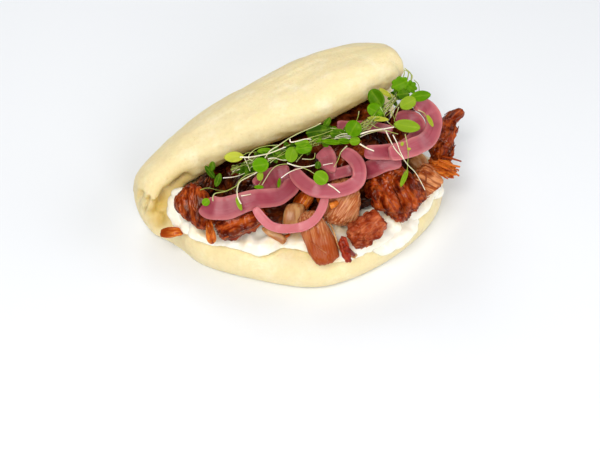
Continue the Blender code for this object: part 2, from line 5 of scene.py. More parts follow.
import json
import logging
import math
import random
import re
from collections.abc import Callable, Iterable, Sequence
from dataclasses import dataclass, field
from enum import Enum
from functools import cache
from typing import Any

import bmesh
import bpy
import numpy as np
from mathutils import Matrix, Vector, noise
from mathutils.bvhtree import BVHTree

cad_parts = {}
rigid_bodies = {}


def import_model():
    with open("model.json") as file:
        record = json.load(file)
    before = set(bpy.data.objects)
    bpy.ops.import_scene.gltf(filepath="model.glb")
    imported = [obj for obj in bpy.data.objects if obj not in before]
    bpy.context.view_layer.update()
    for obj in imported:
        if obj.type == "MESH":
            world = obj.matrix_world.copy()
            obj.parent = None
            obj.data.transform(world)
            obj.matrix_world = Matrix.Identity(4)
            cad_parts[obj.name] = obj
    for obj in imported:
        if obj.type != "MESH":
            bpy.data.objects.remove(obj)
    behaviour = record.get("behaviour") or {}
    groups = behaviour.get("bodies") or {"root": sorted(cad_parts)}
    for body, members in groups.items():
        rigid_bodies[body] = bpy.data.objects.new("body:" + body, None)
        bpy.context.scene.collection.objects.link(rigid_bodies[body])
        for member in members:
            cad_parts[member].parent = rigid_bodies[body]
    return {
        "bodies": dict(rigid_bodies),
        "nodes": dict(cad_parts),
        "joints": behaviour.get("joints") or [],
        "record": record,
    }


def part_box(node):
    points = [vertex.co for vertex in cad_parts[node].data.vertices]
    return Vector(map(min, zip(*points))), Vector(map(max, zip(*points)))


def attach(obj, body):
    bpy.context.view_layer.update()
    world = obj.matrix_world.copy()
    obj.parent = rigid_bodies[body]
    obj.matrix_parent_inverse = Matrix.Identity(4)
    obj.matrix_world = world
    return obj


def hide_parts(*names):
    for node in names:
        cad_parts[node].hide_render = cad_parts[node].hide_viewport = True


log = logging.getLogger("bun")

MM = 0.001
OUTWARD = Vector((-0.23, -0.63, 0.74)).normalized()  # out of the mouth, up off the slope of the heap
RIGHTWARD = Vector((0.94, -0.342, 0)).normalized()  # along the mouth, square to OUTWARD
PINCH_ALONG = Vector((-0.78, -0.33, -0.52)).normalized()  # down the gathers at the left end
PINCH_ACROSS = Vector((0.58, -0.7, -0.42)).normalized()
BODY = "root"
FULL_PULL = 0.6  # how far a vertex of full weight goes toward its neighbours' mean in one round
SPAN_STEPS = 7  # pieces that a stem has between two of its points


# Small tools


@cache
def packed() -> dict[str, Any]:
    """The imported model, loaded once."""
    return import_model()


def linear(code: str) -> tuple[float, float, float, float]:
    """Turns an sRGB hex value to the linear colour that a socket takes.

    Args:
        code: Six hex digits.

    Returns:
        Linear red, green, blue and a full alpha.
    """
    parts = [int(code[n:n + 2], 16) / 255 for n in (0, 2, 4)]
    bent = [c / 12.92 if c <= 0.04045 else ((c + 0.055) / 1.055) ** 2.4 for c in parts]
    return (bent[0], bent[1], bent[2], 1.0)


def add_node(tree: Any, kind: str, sockets: dict[Any, Any] | None = None, **settings: Any) -> Any:
    """Adds a node to a tree.

    Args:
        tree: The node tree.
        kind: The node's type name.
        sockets: For each input, by name or number, the output to link to it or the value to set.
        **settings: Properties of the node itself.

    Returns:
        The new node.
    """
    made = tree.nodes.new(kind)
    for name, value in settings.items():
        setattr(made, name, value)
    for key, value in (sockets or {}).items():
        if isinstance(value, bpy.types.NodeSocket):
            tree.links.new(value, made.inputs[key])
        else:
            made.inputs[key].default_value = value
    return made


def seed_of(name: str) -> int:
    """A number that differs from one name to the next."""
    return sum(ord(letter) for letter in name)


def smooth(value: float) -> float:
    """A soft step from 0 to 1 as the value goes from 0 to 1."""
    value = min(1.0, max(0.0, value))
    return value * value * (3 - 2 * value)


def rising(place: float, start: float, span: float) -> float:
    """A soft step from 0 where a coordinate is at the start to 1 where it is a span further on, both in mm."""
    return smooth((place / MM - start) / span)


def rounding(share: float) -> float:
    """The height of a round edge, 0 to 1, this share of its radius in from the rim."""
    return math.sqrt(max(0.0, 1 - (1 - min(share, 1.0)) ** 2))


def ripple(point: Sequence[float], scale: float, seed: float = 0.0) -> float:
    """Even noise, about -0.5 to 0.5, whose bumps are about the scale apart."""
    return noise.noise(Vector(point) / scale + Vector((seed, 2 * seed, -seed)))


def ridges(point: Sequence[float], seed: float = 0.0) -> float:
    """Noise with rounded ridges and sharp valleys between them, 0 to about 1."""
    return abs(noise.noise(Vector(point) + Vector((seed, -seed, 3 * seed)))) * 2


def spline(points: Sequence[Vector], count: int) -> list[Vector]:
    """A smooth line through points.

    Args:
        points: The points that it passes.
        count: How many points it is given back as.

    Returns:
        The line, evenly spaced between each two points.
    """
    line, spans = [], len(points) - 1
    for k in range(count):
        along = k / (count - 1) * spans
        n = min(int(along), spans - 1)
        f = along - n
        before, a, b, after = points[max(n - 1, 0)], points[n], points[n + 1], points[min(n + 2, spans)]
        line.append(0.5 * (2 * a + (b - before) * f + (2 * before - 5 * a + 4 * b - after) * f**2
                           + (3 * a - before - 3 * b + after) * f**3))
    return line


def write_vectors(mesh: bpy.types.Mesh, name: str, values: Iterable[Sequence[float]]) -> None:
    """Writes one vector per vertex as a named attribute of the mesh."""
    flat = [float(c) for value in values for c in value]
    mesh.attributes.new(name, "FLOAT_VECTOR", "POINT").data.foreach_set("vector", flat)


def write_floats(mesh: bpy.types.Mesh, name: str, values: Iterable[float]) -> None:
    """Writes one number per vertex as a named attribute of the mesh."""
    mesh.attributes.new(name, "FLOAT", "POINT").data.foreach_set("value", [float(v) for v in values])


def as_mesh(bm: bmesh.types.BMesh, name: str) -> bpy.types.Mesh:
    """Turns a bmesh to a mesh whose faces point outwards.

    Args:
        bm: The bmesh, which is freed.
        name: The mesh's name.

    Returns:
        The mesh.
    """
    bmesh.ops.recalc_face_normals(bm, faces=bm.faces)
    mesh = bpy.data.meshes.new(name)
    bm.to_mesh(mesh)
    bm.free()
    return mesh


def taken_out(holder: bpy.types.Object) -> bpy.types.Mesh:
    """Turns an object with modifiers to a plain mesh.

    Args:
        holder: The object, which is removed with its own mesh.

    Returns:
        The mesh that its modifiers give.
    """
    start = holder.data
    bpy.context.scene.collection.objects.link(holder)
    bpy.context.view_layer.update()
    result = bpy.data.meshes.new_from_object(holder.evaluated_get(bpy.context.evaluated_depsgraph_get()))
    bpy.data.objects.remove(holder, do_unlink=True)
    bpy.data.meshes.remove(start)
    return result


def evaluated(mesh: bpy.types.Mesh, modifiers: Sequence[tuple[str, dict[str, Any]]]) -> bpy.types.Mesh:
    """Runs modifiers on a mesh.

    Args:
        mesh: The mesh to start from, which is removed.
        modifiers: Each modifier's type and settings, in order.

    Returns:
        The mesh that comes out.
    """
    holder = bpy.data.objects.new("holder", mesh)
    for kind, settings in modifiers:
        modifier = holder.modifiers.new(kind.lower(), kind)
        for name, value in settings.items():
            setattr(modifier, name, value)
    return taken_out(holder)


def remeshed(mesh: bpy.types.Mesh, voxel: float, relax: int) -> bpy.types.Mesh:
    """Meshes a shape evenly and smooths it.

    Args:
        mesh: The shape, which is removed.
        voxel: The size of the new faces.
        relax: How often the new mesh is smoothed.

    Returns:
        The new mesh.
    """
    return evaluated(mesh, [("REMESH", {"mode": "VOXEL", "voxel_size": voxel, "adaptivity": 0.0}),
                            ("SMOOTH", {"factor": 0.5, "iterations": relax})])


def refined(node: str, voxel: float, relax: int, levels: int = 2) -> bpy.types.Mesh:
    """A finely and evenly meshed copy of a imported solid, with its facets smoothed away.

    Args:
        node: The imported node's name.
        voxel: The size of the new faces.
        relax: How often the new mesh is smoothed.
        levels: How often the copy is subdivided first, which draws its corners in.

    Returns:
        The new mesh.
    """
    bm = bmesh.new()
    bm.from_mesh(packed()["nodes"][node].data)
    bmesh.ops.remove_doubles(bm, verts=bm.verts, dist=0.01 * MM)
    bmesh.ops.join_triangles(bm, faces=bm.faces, angle_face_threshold=0.7, angle_shape_threshold=0.7)
    smooth_copy = evaluated(as_mesh(bm, node + "_copy"), [("SUBSURF", {"levels": levels, "render_levels": levels})])
    return remeshed(smooth_copy, voxel, relax)


def displaced(mesh: bpy.types.Mesh, shift: Callable[[Vector, Vector], Vector]) -> bpy.types.Mesh:
    """Moves each vertex by a rule.

    Args:
        mesh: The mesh, changed in place.
        shift: Gives the move for a vertex's place and normal.

    Returns:
        The same mesh.
    """
    moved = [vert.co + shift(vert.co, vert.normal) for vert in mesh.vertices]
    mesh.vertices.foreach_set("co", [c for point in moved for c in point])
    mesh.update()
    return mesh


def relaxed(mesh: bpy.types.Mesh, weights: Sequence[float], rounds: int) -> bpy.types.Mesh:
    """Draws each vertex toward the mean of its neighbours.

    Args:
        mesh: The mesh, changed in place.
        weights: How strongly each vertex is drawn, 0 to 1.
        rounds: How often.

    Returns:
        The same mesh.
    """
    count = len(mesh.vertices)
    ends = np.empty(len(mesh.edges) * 2, np.int32)
    mesh.edges.foreach_get("vertices", ends)
    here, there = ends[0::2], ends[1::2]
    places = np.empty(count * 3)
    mesh.vertices.foreach_get("co", places)
    places = places.reshape(-1, 3)
    near = np.maximum(np.bincount(np.concatenate([here, there]), minlength=count), 1)
    pull = np.asarray(weights, float)[:, None] * FULL_PULL
    for _ in range(rounds):
        sums = [np.bincount(here, places[there, axis], count) + np.bincount(there, places[here, axis], count)
                for axis in range(3)]
        mean = np.stack([total / near for total in sums], axis=1)
        places += (mean - places) * pull
    mesh.vertices.foreach_set("co", places.reshape(-1))
    mesh.update()
    return mesh


def grown(tree: Any, name: str, mesh: bpy.types.Mesh, values: dict[str, Any]) -> bpy.types.Mesh:
    """Runs a Geometry Nodes tree on a mesh.

    Args:
        tree: The node tree.
        name: The name of the mesh that comes out.
        mesh: The mesh to start from, which is removed.
        values: The tree's inputs by name, set before it first runs.

    Returns:
        The plain mesh that comes out.
    """
    holder = bpy.data.objects.new(name, mesh)
    modifier = holder.modifiers.new(name, "NODES")
    modifier.node_group = tree
    for item in tree.interface.items_tree:
        if item.name in values:
            modifier[item.identifier] = values[item.name]
    return taken_out(holder)


def new_tree(name: str, inputs: dict[str, str]) -> tuple[Any, Any]:
    """Starts a Geometry Nodes tree that takes geometry and gives geometry.

    Args:
        name: The tree's name.
        inputs: The socket type of each further input, by its name.

    Returns:
        The tree and its input node.
    """
    tree = bpy.data.node_groups.new(name, "GeometryNodeTree")
    tree.interface.new_socket("Geometry", in_out="INPUT", socket_type="NodeSocketGeometry")
    tree.interface.new_socket("Geometry", in_out="OUTPUT", socket_type="NodeSocketGeometry")
    for title, kind in inputs.items():
        tree.interface.new_socket(title, in_out="INPUT", socket_type=kind)
    return tree, add_node(tree, "NodeGroupInput")


def finished(name: str, mesh: bpy.types.Mesh, material: bpy.types.Material, slot: str,
             nodes: Sequence[str] = ()) -> bpy.types.Object:
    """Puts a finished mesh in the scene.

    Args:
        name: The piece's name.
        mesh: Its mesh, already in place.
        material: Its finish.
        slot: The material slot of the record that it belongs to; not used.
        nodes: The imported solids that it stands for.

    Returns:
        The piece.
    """
    mesh.name = name
    mesh.materials.clear()
    mesh.materials.append(material)
    mesh.polygons.foreach_set("use_smooth", [True] * len(mesh.polygons))
    piece = bpy.data.objects.new(name, mesh)
    bpy.context.scene.collection.objects.link(piece)
    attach(piece, BODY)
    for node in nodes:
        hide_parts(node)
    log.info("%s: %d faces", name, len(mesh.polygons))
    return piece


@dataclass(frozen=True)
class Stem:
    """A stem or a strand: the points that it passes and its radius, in mm, and its tone, 0 for dark to 1 for pale."""

    line: tuple[tuple[float, float, float], ...]
    radius: float
    tone: float = 0.5


@cache
def placing_tree() -> Any:
    """The tree that puts a blank on every point, turned and sized by the point's own attributes."""
    tree, start = new_tree("placed_pieces", {"Blank": "NodeSocketObject", "Finish": "NodeSocketMaterial"})
    turn = add_node(tree, "GeometryNodeInputNamedAttribute", {"Name": "turn"}, data_type="FLOAT_VECTOR")
    size = add_node(tree, "GeometryNodeInputNamedAttribute", {"Name": "size"}, data_type="FLOAT_VECTOR")
    blank = add_node(tree, "GeometryNodeObjectInfo", {"Object": start.outputs["Blank"]})
    placed = add_node(tree, "GeometryNodeInstanceOnPoints", {
        "Points": start.outputs["Geometry"], "Instance": blank.outputs["Geometry"],
        "Rotation": turn.outputs["Attribute"], "Scale": size.outputs["Attribute"]})
    plain = add_node(tree, "GeometryNodeRealizeInstances", {"Geometry": placed.outputs["Instances"]})
    dressed = add_node(tree, "GeometryNodeSetMaterial", {
        "Geometry": plain.outputs["Geometry"], "Material": start.outputs["Finish"]})
    add_node(tree, "NodeGroupOutput", {"Geometry": dressed.outputs["Geometry"]})
    return tree


@cache
def drawing_tree() -> Any:
    """The tree that turns lines to stems as thick as their points say, with closed ends."""
    tree, start = new_tree("drawn_stems", {"Sides": "NodeSocketInt", "Finish": "NodeSocketMaterial"})
    girth = add_node(tree, "GeometryNodeInputNamedAttribute", {"Name": "girth"}, data_type="FLOAT")
    line = add_node(tree, "GeometryNodeMeshToCurve", {"Mesh": start.outputs["Geometry"]})
    ring = add_node(tree, "GeometryNodeCurvePrimitiveCircle", {"Resolution": start.outputs["Sides"], "Radius": 1.0})
    drawn = add_node(tree, "GeometryNodeCurveToMesh", {
        "Curve": line.outputs["Curve"], "Profile Curve": ring.outputs["Curve"],
        "Scale": girth.outputs["Attribute"], "Fill Caps": True})
    dressed = add_node(tree, "GeometryNodeSetMaterial", {
        "Geometry": drawn.outputs["Mesh"], "Material": start.outputs["Finish"]})
    add_node(tree, "NodeGroupOutput", {"Geometry": dressed.outputs["Geometry"]})
    return tree


def stem_lines(stems: Sequence[Stem]) -> bpy.types.Mesh:
    """Draws a line of edges for each stem.

    Args:
        stems: The stems, each thicker at its first end.

    Returns:
        The lines, with the girth, the tone and the grain of each of their points.
    """
    points, edges, girths, tones, grains = [], [], [], [], []
    for n, stem in enumerate(stems):
        knots = [Vector(point) * MM for point in stem.line]
        count = SPAN_STEPS * (len(knots) - 1) + 1
        for k, point in enumerate(spline(knots, count)):
            if k:
                edges.append((len(points) - 1, len(points)))
            share = k / (count - 1)
            points.append(tuple(point))
            girths.append(stem.radius * MM * (1.1 - 0.35 * share))
            tones.append(min(1.0, max(0.0, stem.tone + 0.12 * math.sin(5 * share + 9 * stem.radius))))
            grains.append((share * 6, 3.7 * n, 0.31 * n))
    mesh = bpy.data.meshes.new("stem_lines")
    mesh.from_pydata(points, edges, [])
    write_floats(mesh, "girth", girths)
    write_floats(mesh, "tone", tones)
    write_vectors(mesh, "grain", grains)
    return mesh


# Finishes


class Finish:
    """A finish that is built once and then shared."""

    _built: dict[Any, bpy.types.Material] = {}

    def material(self) -> bpy.types.Material:
        """The material, built on the first call."""
        if self not in Finish._built:
            made = bpy.data.materials.new(self.title())
            made.use_nodes = True
            made.node_tree.nodes.clear()
            self.build(made.node_tree)
            Finish._built[self] = made
        return Finish._built[self]

    def title(self) -> str:
        """The material's name: the class's own, in small letters with underscores."""
        return re.sub(r"(?<!^)([A-Z])", r"_\1", type(self).__name__).lower()

    def build(self, tree: Any) -> None:
        """Adds the material's nodes.

        Args:
            tree: The material's node tree, still empty.
        """
        raise NotImplementedError


def shader(tree: Any, sockets: dict[str, Any]) -> None:
    """Adds the surface shader and the output.

    Args:
        tree: The material's node tree.
        sockets: The shader's inputs, as for add_node.
    """
    surface = add_node(tree, "ShaderNodeBsdfPrincipled", sockets)
    add_node(tree, "ShaderNodeOutputMaterial", {"Surface": surface.outputs[0]})


def layered(tree: Any, colour: Any, over: Any, value: Any, low: float = 0.0, high: float = 1.0,
            least: float = 0.0, most: float = 1.0) -> Any:
    """Lays one colour over another, more or less of it by a value.

    Args:
        tree: The material's node tree.
        colour: The colour underneath.
        over: The colour laid over it.
        value: The output that says where.
        low: The value at which the layer has its least share, which may be the higher of the two.
        high: The value at which it has its most.
        least: The layer's least share.
        most: Its most.

    Returns:
        The output of the mixed colour.
    """
    share = add_node(tree, "ShaderNodeMapRange", {
        "Value": value, "From Min": low, "From Max": high, "To Min": least, "To Max": most}).outputs[0]
    return add_node(tree, "ShaderNodeMix", {0: share, 6: colour, 7: over}, data_type="RGBA").outputs[2]


def millimetres(tree: Any) -> Any:
    """Object coordinates in millimetres."""
    place = add_node(tree, "ShaderNodeTexCoord").outputs["Object"]
    return add_node(tree, "ShaderNodeMapping", {"Vector": place, "Scale": (1 / MM, 1 / MM, 1 / MM)}).outputs[0]


def grain_coordinates(tree: Any, sizes: Sequence[float]) -> Any:
    """Gives the piece's own grain coordinates, along its fibres and across them.

    Args:
        tree: The material's node tree.
        sizes: The pattern's size along each of them, in mm.

    Returns:
        The output of the coordinates, divided by the sizes.
    """
    grain = add_node(tree, "ShaderNodeAttribute", attribute_name="grain").outputs["Vector"]
    return add_node(tree, "ShaderNodeMapping", {"Vector": grain, "Scale": tuple(1 / s for s in sizes)}).outputs[0]


@dataclass(frozen=True)
class SteamedDough(Finish):
    """White wheat dough, proved and steamed: a close satin skin with tiny gas pits, with painted shade, darker and
    yellower, where it turns under and along its creases.
    """

    skin: str = "efdead"
    cloudy: str = "f8edcb"
    # painted shade: the darker, yellower dough laid where the skin turns under, in the gathers and along the creases
    under: str = "d2b35c"
    fleck: str = "d9c488"
    pit: str = "b99a55"
    cloud_mm: float = 7.0
    fleck_mm: float = 1.6
    pit_mm: float = 2.6
    pore_mm: float = 0.9

    def build(self, tree: Any) -> None:
        """Adds the material's nodes.

        Args:
            tree: The material's node tree, still empty.
        """
        place = millimetres(tree)
        clouds = add_node(tree, "ShaderNodeTexNoise", {
            "Vector": place, "Scale": 1 / self.cloud_mm, "Detail": 5.0, "Roughness": 0.6}).outputs[0]
        turned = add_node(tree, "ShaderNodeAttribute", attribute_name="turned_under").outputs["Fac"]
        flecks = add_node(tree, "ShaderNodeTexNoise", {
            "Vector": place, "Scale": 1 / self.fleck_mm, "Detail": 3.0, "Roughness": 0.7}).outputs[0]
        cells = add_node(tree, "ShaderNodeTexVoronoi", {"Vector": place, "Scale": 1 / self.pit_mm}).outputs["Distance"]
        pits = add_node(tree, "ShaderNodeMapRange", {"Value": cells, "From Min": 0.06, "From Max": 0.16}).outputs[0]
        pores = add_node(tree, "ShaderNodeTexNoise", {
            "Vector": place, "Scale": 1 / self.pore_mm, "Detail": 3.0, "Roughness": 0.55}).outputs[0]
        colour = layered(tree, linear(self.skin), linear(self.cloudy), clouds, 0.5, 0.72, 0.0, 0.7)
        colour = layered(tree, colour, linear(self.fleck), flecks, 0.55, 0.35, 0.0, 0.22)
        # painted shade where the dough turns under, in the gathers and in its creases
        colour = layered(tree, colour, linear(self.under), turned)
        colour = layered(tree, colour, linear(self.pit), pits, 0.0, 1.0, 0.12, 0.0)
        rough = add_node(tree, "ShaderNodeMapRange", {
            "Value": clouds, "From Min": 0.3, "From Max": 0.7, "To Min": 0.5, "To Max": 0.4}).outputs[0]
        low = add_node(tree, "ShaderNodeBump", {"Height": pits, "Strength": 0.5, "Distance": 0.12 * MM}).outputs[0]
        fine = add_node(tree, "ShaderNodeBump", {
            "Height": pores, "Strength": 0.8, "Distance": 0.22 * MM, "Normal": low}).outputs[0]
        shader(tree, {
            "Base Color": colour, "Roughness": rough, "IOR": 1.42,
            "Subsurface Weight": 0.35, "Subsurface Radius": (1.0, 0.65, 0.35), "Subsurface Scale": 3 * MM,
            "Specular IOR Level": 0.4, "Normal": fine})


@dataclass(frozen=True)
class CreamySauce(Finish):
    """An egg and oil emulsion, spooned on: opaque ivory white with a wet shine, stained by the meat's juice."""

    white: str = "fff9ea"
    stain: str = "f1d8a2"
    stain_mm: float = 9.0
    dimple_mm: float = 1.8

    def build(self, tree: Any) -> None:
        """Adds the material's nodes.

        Args:
            tree: The material's node tree, still empty.
        """
        place = millimetres(tree)
        spread = add_node(tree, "ShaderNodeTexNoise", {
            "Vector": place, "Scale": 1 / self.stain_mm, "Detail": 4.0, "Roughness": 0.6}).outputs[0]
        near = add_node(tree, "ShaderNodeAttribute", attribute_name="near_meat").outputs["Fac"]
        spread = add_node(tree, "ShaderNodeMapRange", {"Value": spread, "From Min": 0.42, "From Max": 0.62}).outputs[0]
        stained = add_node(tree, "ShaderNodeMath", {0: spread, 1: near}, operation="MULTIPLY").outputs[0]
        colour = layered(tree, linear(self.white), linear(self.stain), stained)
        dimples = add_node(tree, "ShaderNodeTexNoise", {
            "Vector": place, "Scale": 1 / self.dimple_mm, "Detail": 2.0}).outputs[0]
        normal = add_node(tree, "ShaderNodeBump", {
            "Height": dimples, "Strength": 0.35, "Distance": 0.2 * MM}).outputs[0]
        shader(tree, {
            "Base Color": colour, "Roughness": 0.22, "IOR": 1.46, "Subsurface Weight": 0.3,
            "Subsurface Radius": (1.0, 0.9, 0.7), "Subsurface Scale": 1.5 * MM, "Normal": normal})


@dataclass(frozen=True)
class BraisedMeat(Finish):
    """Pork shoulder braised in a dark sweet stock until it pulls apart: bundles of fibre under a sticky glaze."""

    cut: str
    crust: str
    flesh: str
    pale: str
    crusted: float = 0.5  # the share of it under dark glaze
    fibre_mm: float = 0.8
    run_mm: float = 11.0  # how far a fibre keeps its colour
    amber: str = "ab5418"  # where fat has soaked in
    edge: str = "9a3c0c"  # where an end is browned
    wet: float = 0.16  # how much juice lies on it
    patch_mm: tuple[float, float, float] = (8.0, 4.0, 4.0)  # the glazed patches, along the fibres and across
    soak_mm: float = 3.4

    def title(self) -> str:
        """The material's name."""
        return f"braised_meat_{self.cut}"

    def build(self, tree: Any) -> None:
        """Adds the material's nodes.

        Args:
            tree: The material's node tree, still empty.
        """
        bundles = add_node(tree, "ShaderNodeTexNoise", {
            "Vector": grain_coordinates(tree, (1.6 * self.run_mm, 2.6 * self.fibre_mm, 2.6 * self.fibre_mm)),
            "Scale": 1.0, "Detail": 1.0, "Roughness": 0.5, "Distortion": 0.5}).outputs[0]
        fibres = add_node(tree, "ShaderNodeTexNoise", {
            "Vector": grain_coordinates(tree, (2 * self.run_mm, self.fibre_mm, self.fibre_mm)),
            "Scale": 1.0, "Detail": 1.0, "Roughness": 0.5, "Distortion": 0.4}).outputs[0]
        patches = add_node(tree, "ShaderNodeTexNoise", {
            "Vector": grain_coordinates(tree, self.patch_mm), "Scale": 1.0, "Detail": 4.0, "Roughness": 0.65,
        }).outputs[0]
        soaked = add_node(tree, "ShaderNodeTexNoise", {
            "Vector": millimetres(tree), "Scale": 1 / self.soak_mm, "Detail": 3.0, "Roughness": 0.6}).outputs[0]
        browned = add_node(tree, "ShaderNodeAttribute", attribute_name="browned").outputs["Fac"]
        edge = 0.75 - 0.5 * self.crusted
        colour = layered(tree, linear(self.flesh), linear(self.pale), fibres, 0.42, 0.68)
        colour = layered(tree, colour, linear(self.amber), soaked, 0.5, 0.68, 0.0, 0.55)
        colour = layered(tree, colour, linear(self.crust), bundles, 0.46, 0.32, 0.0, 0.75)
        colour = layered(tree, colour, linear(self.crust), patches, edge - 0.09, edge + 0.07)
        colour = layered(tree, colour, linear(self.edge), browned)
        rough = add_node(tree, "ShaderNodeMapRange", {
            "Value": patches, "From Min": 0.35, "From Max": 0.65, "To Min": 0.42, "To Max": 0.2}).outputs[0]
        coarse = add_node(tree, "ShaderNodeBump", {
            "Height": bundles, "Strength": 0.5, "Distance": 0.5 * MM}).outputs[0]
        fine = add_node(tree, "ShaderNodeBump", {
            "Height": fibres, "Strength": 0.45, "Distance": 0.25 * MM, "Normal": coarse}).outputs[0]
        shader(tree, {
            "Base Color": colour, "Roughness": rough, "IOR": 1.4, "Subsurface Weight": 0.12,
            "Subsurface Radius": (1.0, 0.25, 0.06), "Subsurface Scale": 1.5 * MM, "Specular IOR Level": 0.2,
            "Specular Tint": (1.0, 0.65, 0.4, 1.0), "Coat Weight": self.wet, "Coat Roughness": 0.05,
            "Coat Tint": (1.0, 0.85, 0.7, 1.0), "Normal": fine})


@dataclass(frozen=True)
class SoftFat(Finish):
    """Rendered pork fat: cream to tan, see-through at its edges and wet."""

    body: str = "cf9f68"
    deep: str = "ac6e3c"
    wave_mm: tuple[float, float, float] = (6, 1.6, 1.6)

    def build(self, tree: Any) -> None:
        """Adds the material's nodes.

        Args:
            tree: The material's node tree, still empty.
        """
        waves = add_node(tree, "ShaderNodeTexNoise", {
            "Vector": grain_coordinates(tree, self.wave_mm), "Scale": 1.0, "Detail": 3.0}).outputs[0]
        colour = layered(tree, linear(self.body), linear(self.deep), waves, 0.4, 0.62)
        normal = add_node(tree, "ShaderNodeBump", {"Height": waves, "Strength": 0.5, "Distance": 0.3 * MM}).outputs[0]
        shader(tree, {
            "Base Color": colour, "Roughness": 0.32, "IOR": 1.4, "Subsurface Weight": 0.5,
            "Subsurface Radius": (1.0, 0.6, 0.3), "Subsurface Scale": 2 * MM, "Normal": normal})


@dataclass(frozen=True)
class PickledOnion(Finish):
    """Red onion sliced in rings and pickled: watery flesh dyed pink, with fine veins along it and paler cut edges."""

    flesh: str = "bd6270"
    deep: str = "841e38"
    vein: str = "8a2636"
    rim: str = "eea49a"
    washed: str = "c87880"
    vein_mm: tuple[float, float, float] = (22, 0.9, 3)  # along the strip, across it and through it
    wash_mm: float = 7.0

    def build(self, tree: Any) -> None:
        """Adds the material's nodes.

        Args:
            tree: The material's node tree, still empty.
        """
        veins = add_node(tree, "ShaderNodeTexNoise", {
            "Vector": grain_coordinates(tree, self.vein_mm), "Scale": 1.0, "Detail": 2.0}).outputs[0]
        washes = add_node(tree, "ShaderNodeTexNoise", {
            "Vector": millimetres(tree), "Scale": 1 / self.wash_mm, "Detail": 2.0}).outputs[0]
        edge = add_node(tree, "ShaderNodeAttribute", attribute_name="rim").outputs["Fac"]
        tone = add_node(tree, "ShaderNodeAttribute", attribute_name="tone").outputs["Fac"]
        colour = layered(tree, linear(self.deep), linear(self.flesh), tone)
        colour = layered(tree, colour, linear(self.vein), veins, 0.5, 0.7, 0.0, 0.4)
        colour = layered(tree, colour, linear(self.washed), washes, 0.45, 0.7, 0.0, 0.3)
        colour = layered(tree, colour, linear(self.rim), edge, 0.4, 1.0, 0.0, 0.38)
        normal = add_node(tree, "ShaderNodeBump", {"Height": veins, "Strength": 0.4, "Distance": 0.2 * MM}).outputs[0]
        shader(tree, {
            "Base Color": colour, "Roughness": 0.24, "IOR": 1.36, "Subsurface Weight": 0.5,
            "Subsurface Radius": (1.0, 0.35, 0.5), "Subsurface Scale": 2.5 * MM, "Specular IOR Level": 0.28,
            "Normal": normal})


class Greens(Enum):
    """The two tissues of a sprout."""

    LEAF = "leaf"
    STEM = "stem"


@dataclass(frozen=True)
class Sprout(Finish):
    """A fresh seedling: a smooth waxy leaf with one faint midrib, or a watery pale stem."""

    tissue: Greens
    leaf: tuple[str, str, str] = ("1c4202", "5a9000", "c6c24a")  # in deep shade, full green and yellowing
    stem: tuple[str, str, str] = ("4c5a10", "a3ae52", "fbefd8")  # in shade, green and bleached
    lighter: str = "78a010"
    midrib: str = "b4cc3a"

    def title(self) -> str:
        """The material's name."""
        return f"sprout_{self.tissue.value}"

    def build(self, tree: Any) -> None:
        """Adds the material's nodes.

        Args:
            tree: The material's node tree, still empty.
        """
        if self.tissue is Greens.LEAF:
            self.build_leaf(tree)
        else:
            self.build_stem(tree)

    def build_leaf(self, tree: Any) -> None:
        """Adds a leaf's nodes: its tone in three steps, lighter clouds and a faint midrib.

        Args:
            tree: The material's node tree, still empty.
        """
        dark, green, yellow = (linear(code) for code in self.leaf)
        tone = add_node(tree, "ShaderNodeAttribute", attribute_name="tone").outputs["Fac"]
        cloud = add_node(tree, "ShaderNodeTexNoise", {
            "Vector": millimetres(tree), "Scale": 0.45, "Detail": 3.0}).outputs[0]
        across = add_node(tree, "ShaderNodeAttribute", attribute_name="grain").outputs["Vector"]
        across = add_node(tree, "ShaderNodeSeparateXYZ", {0: across}).outputs[1]
        across = add_node(tree, "ShaderNodeMath", {0: across}, operation="ABSOLUTE").outputs[0]
        colour = layered(tree, dark, green, tone, 0.0, 0.45)
        colour = layered(tree, colour, yellow, tone, 0.45, 1.0)
        colour = layered(tree, colour, linear(self.lighter), cloud, 0.5, 0.75, 0.0, 0.4)
        colour = layered(tree, colour, linear(self.midrib), across, 0.14, 0.0, 0.0, 0.16)
        normal = add_node(tree, "ShaderNodeBump", {"Height": cloud, "Strength": 0.3, "Distance": 0.3 * MM}).outputs[0]
        shader(tree, {
            "Base Color": colour, "Roughness": 0.38, "IOR": 1.42, "Subsurface Weight": 0.2,
            "Subsurface Radius": (0.8, 1.0, 0.05), "Subsurface Scale": 1 * MM, "Specular IOR Level": 0.22,
            "Specular Tint": (1.0, 1.0, 0.35, 1.0), "Normal": normal})

    def build_stem(self, tree: Any) -> None:
        """Adds a stem's nodes: its tone in three steps.

        Args:
            tree: The material's node tree, still empty.
        """
        dark, green, pale = (linear(code) for code in self.stem)
        tone = add_node(tree, "ShaderNodeAttribute", attribute_name="tone").outputs["Fac"]
        colour = layered(tree, dark, green, tone, 0.0, 0.5)
        colour = layered(tree, colour, pale, tone, 0.5, 1.0)
        shader(tree, {
            "Base Color": colour, "Roughness": 0.25, "IOR": 1.38, "Subsurface Weight": 0.4,
            "Subsurface Radius": (0.8, 1.0, 0.4), "Subsurface Scale": 0.8 * MM})


@dataclass(frozen=True)
class PaleFloor(Finish):
    """A plain matt board."""

    def build(self, tree: Any) -> None:
        """Adds the material's nodes.

        Args:
            tree: The material's node tree, still empty.
        """
        shader(tree, {"Base Color": linear("eef1f6"), "Roughness": 0.7})


# The bun


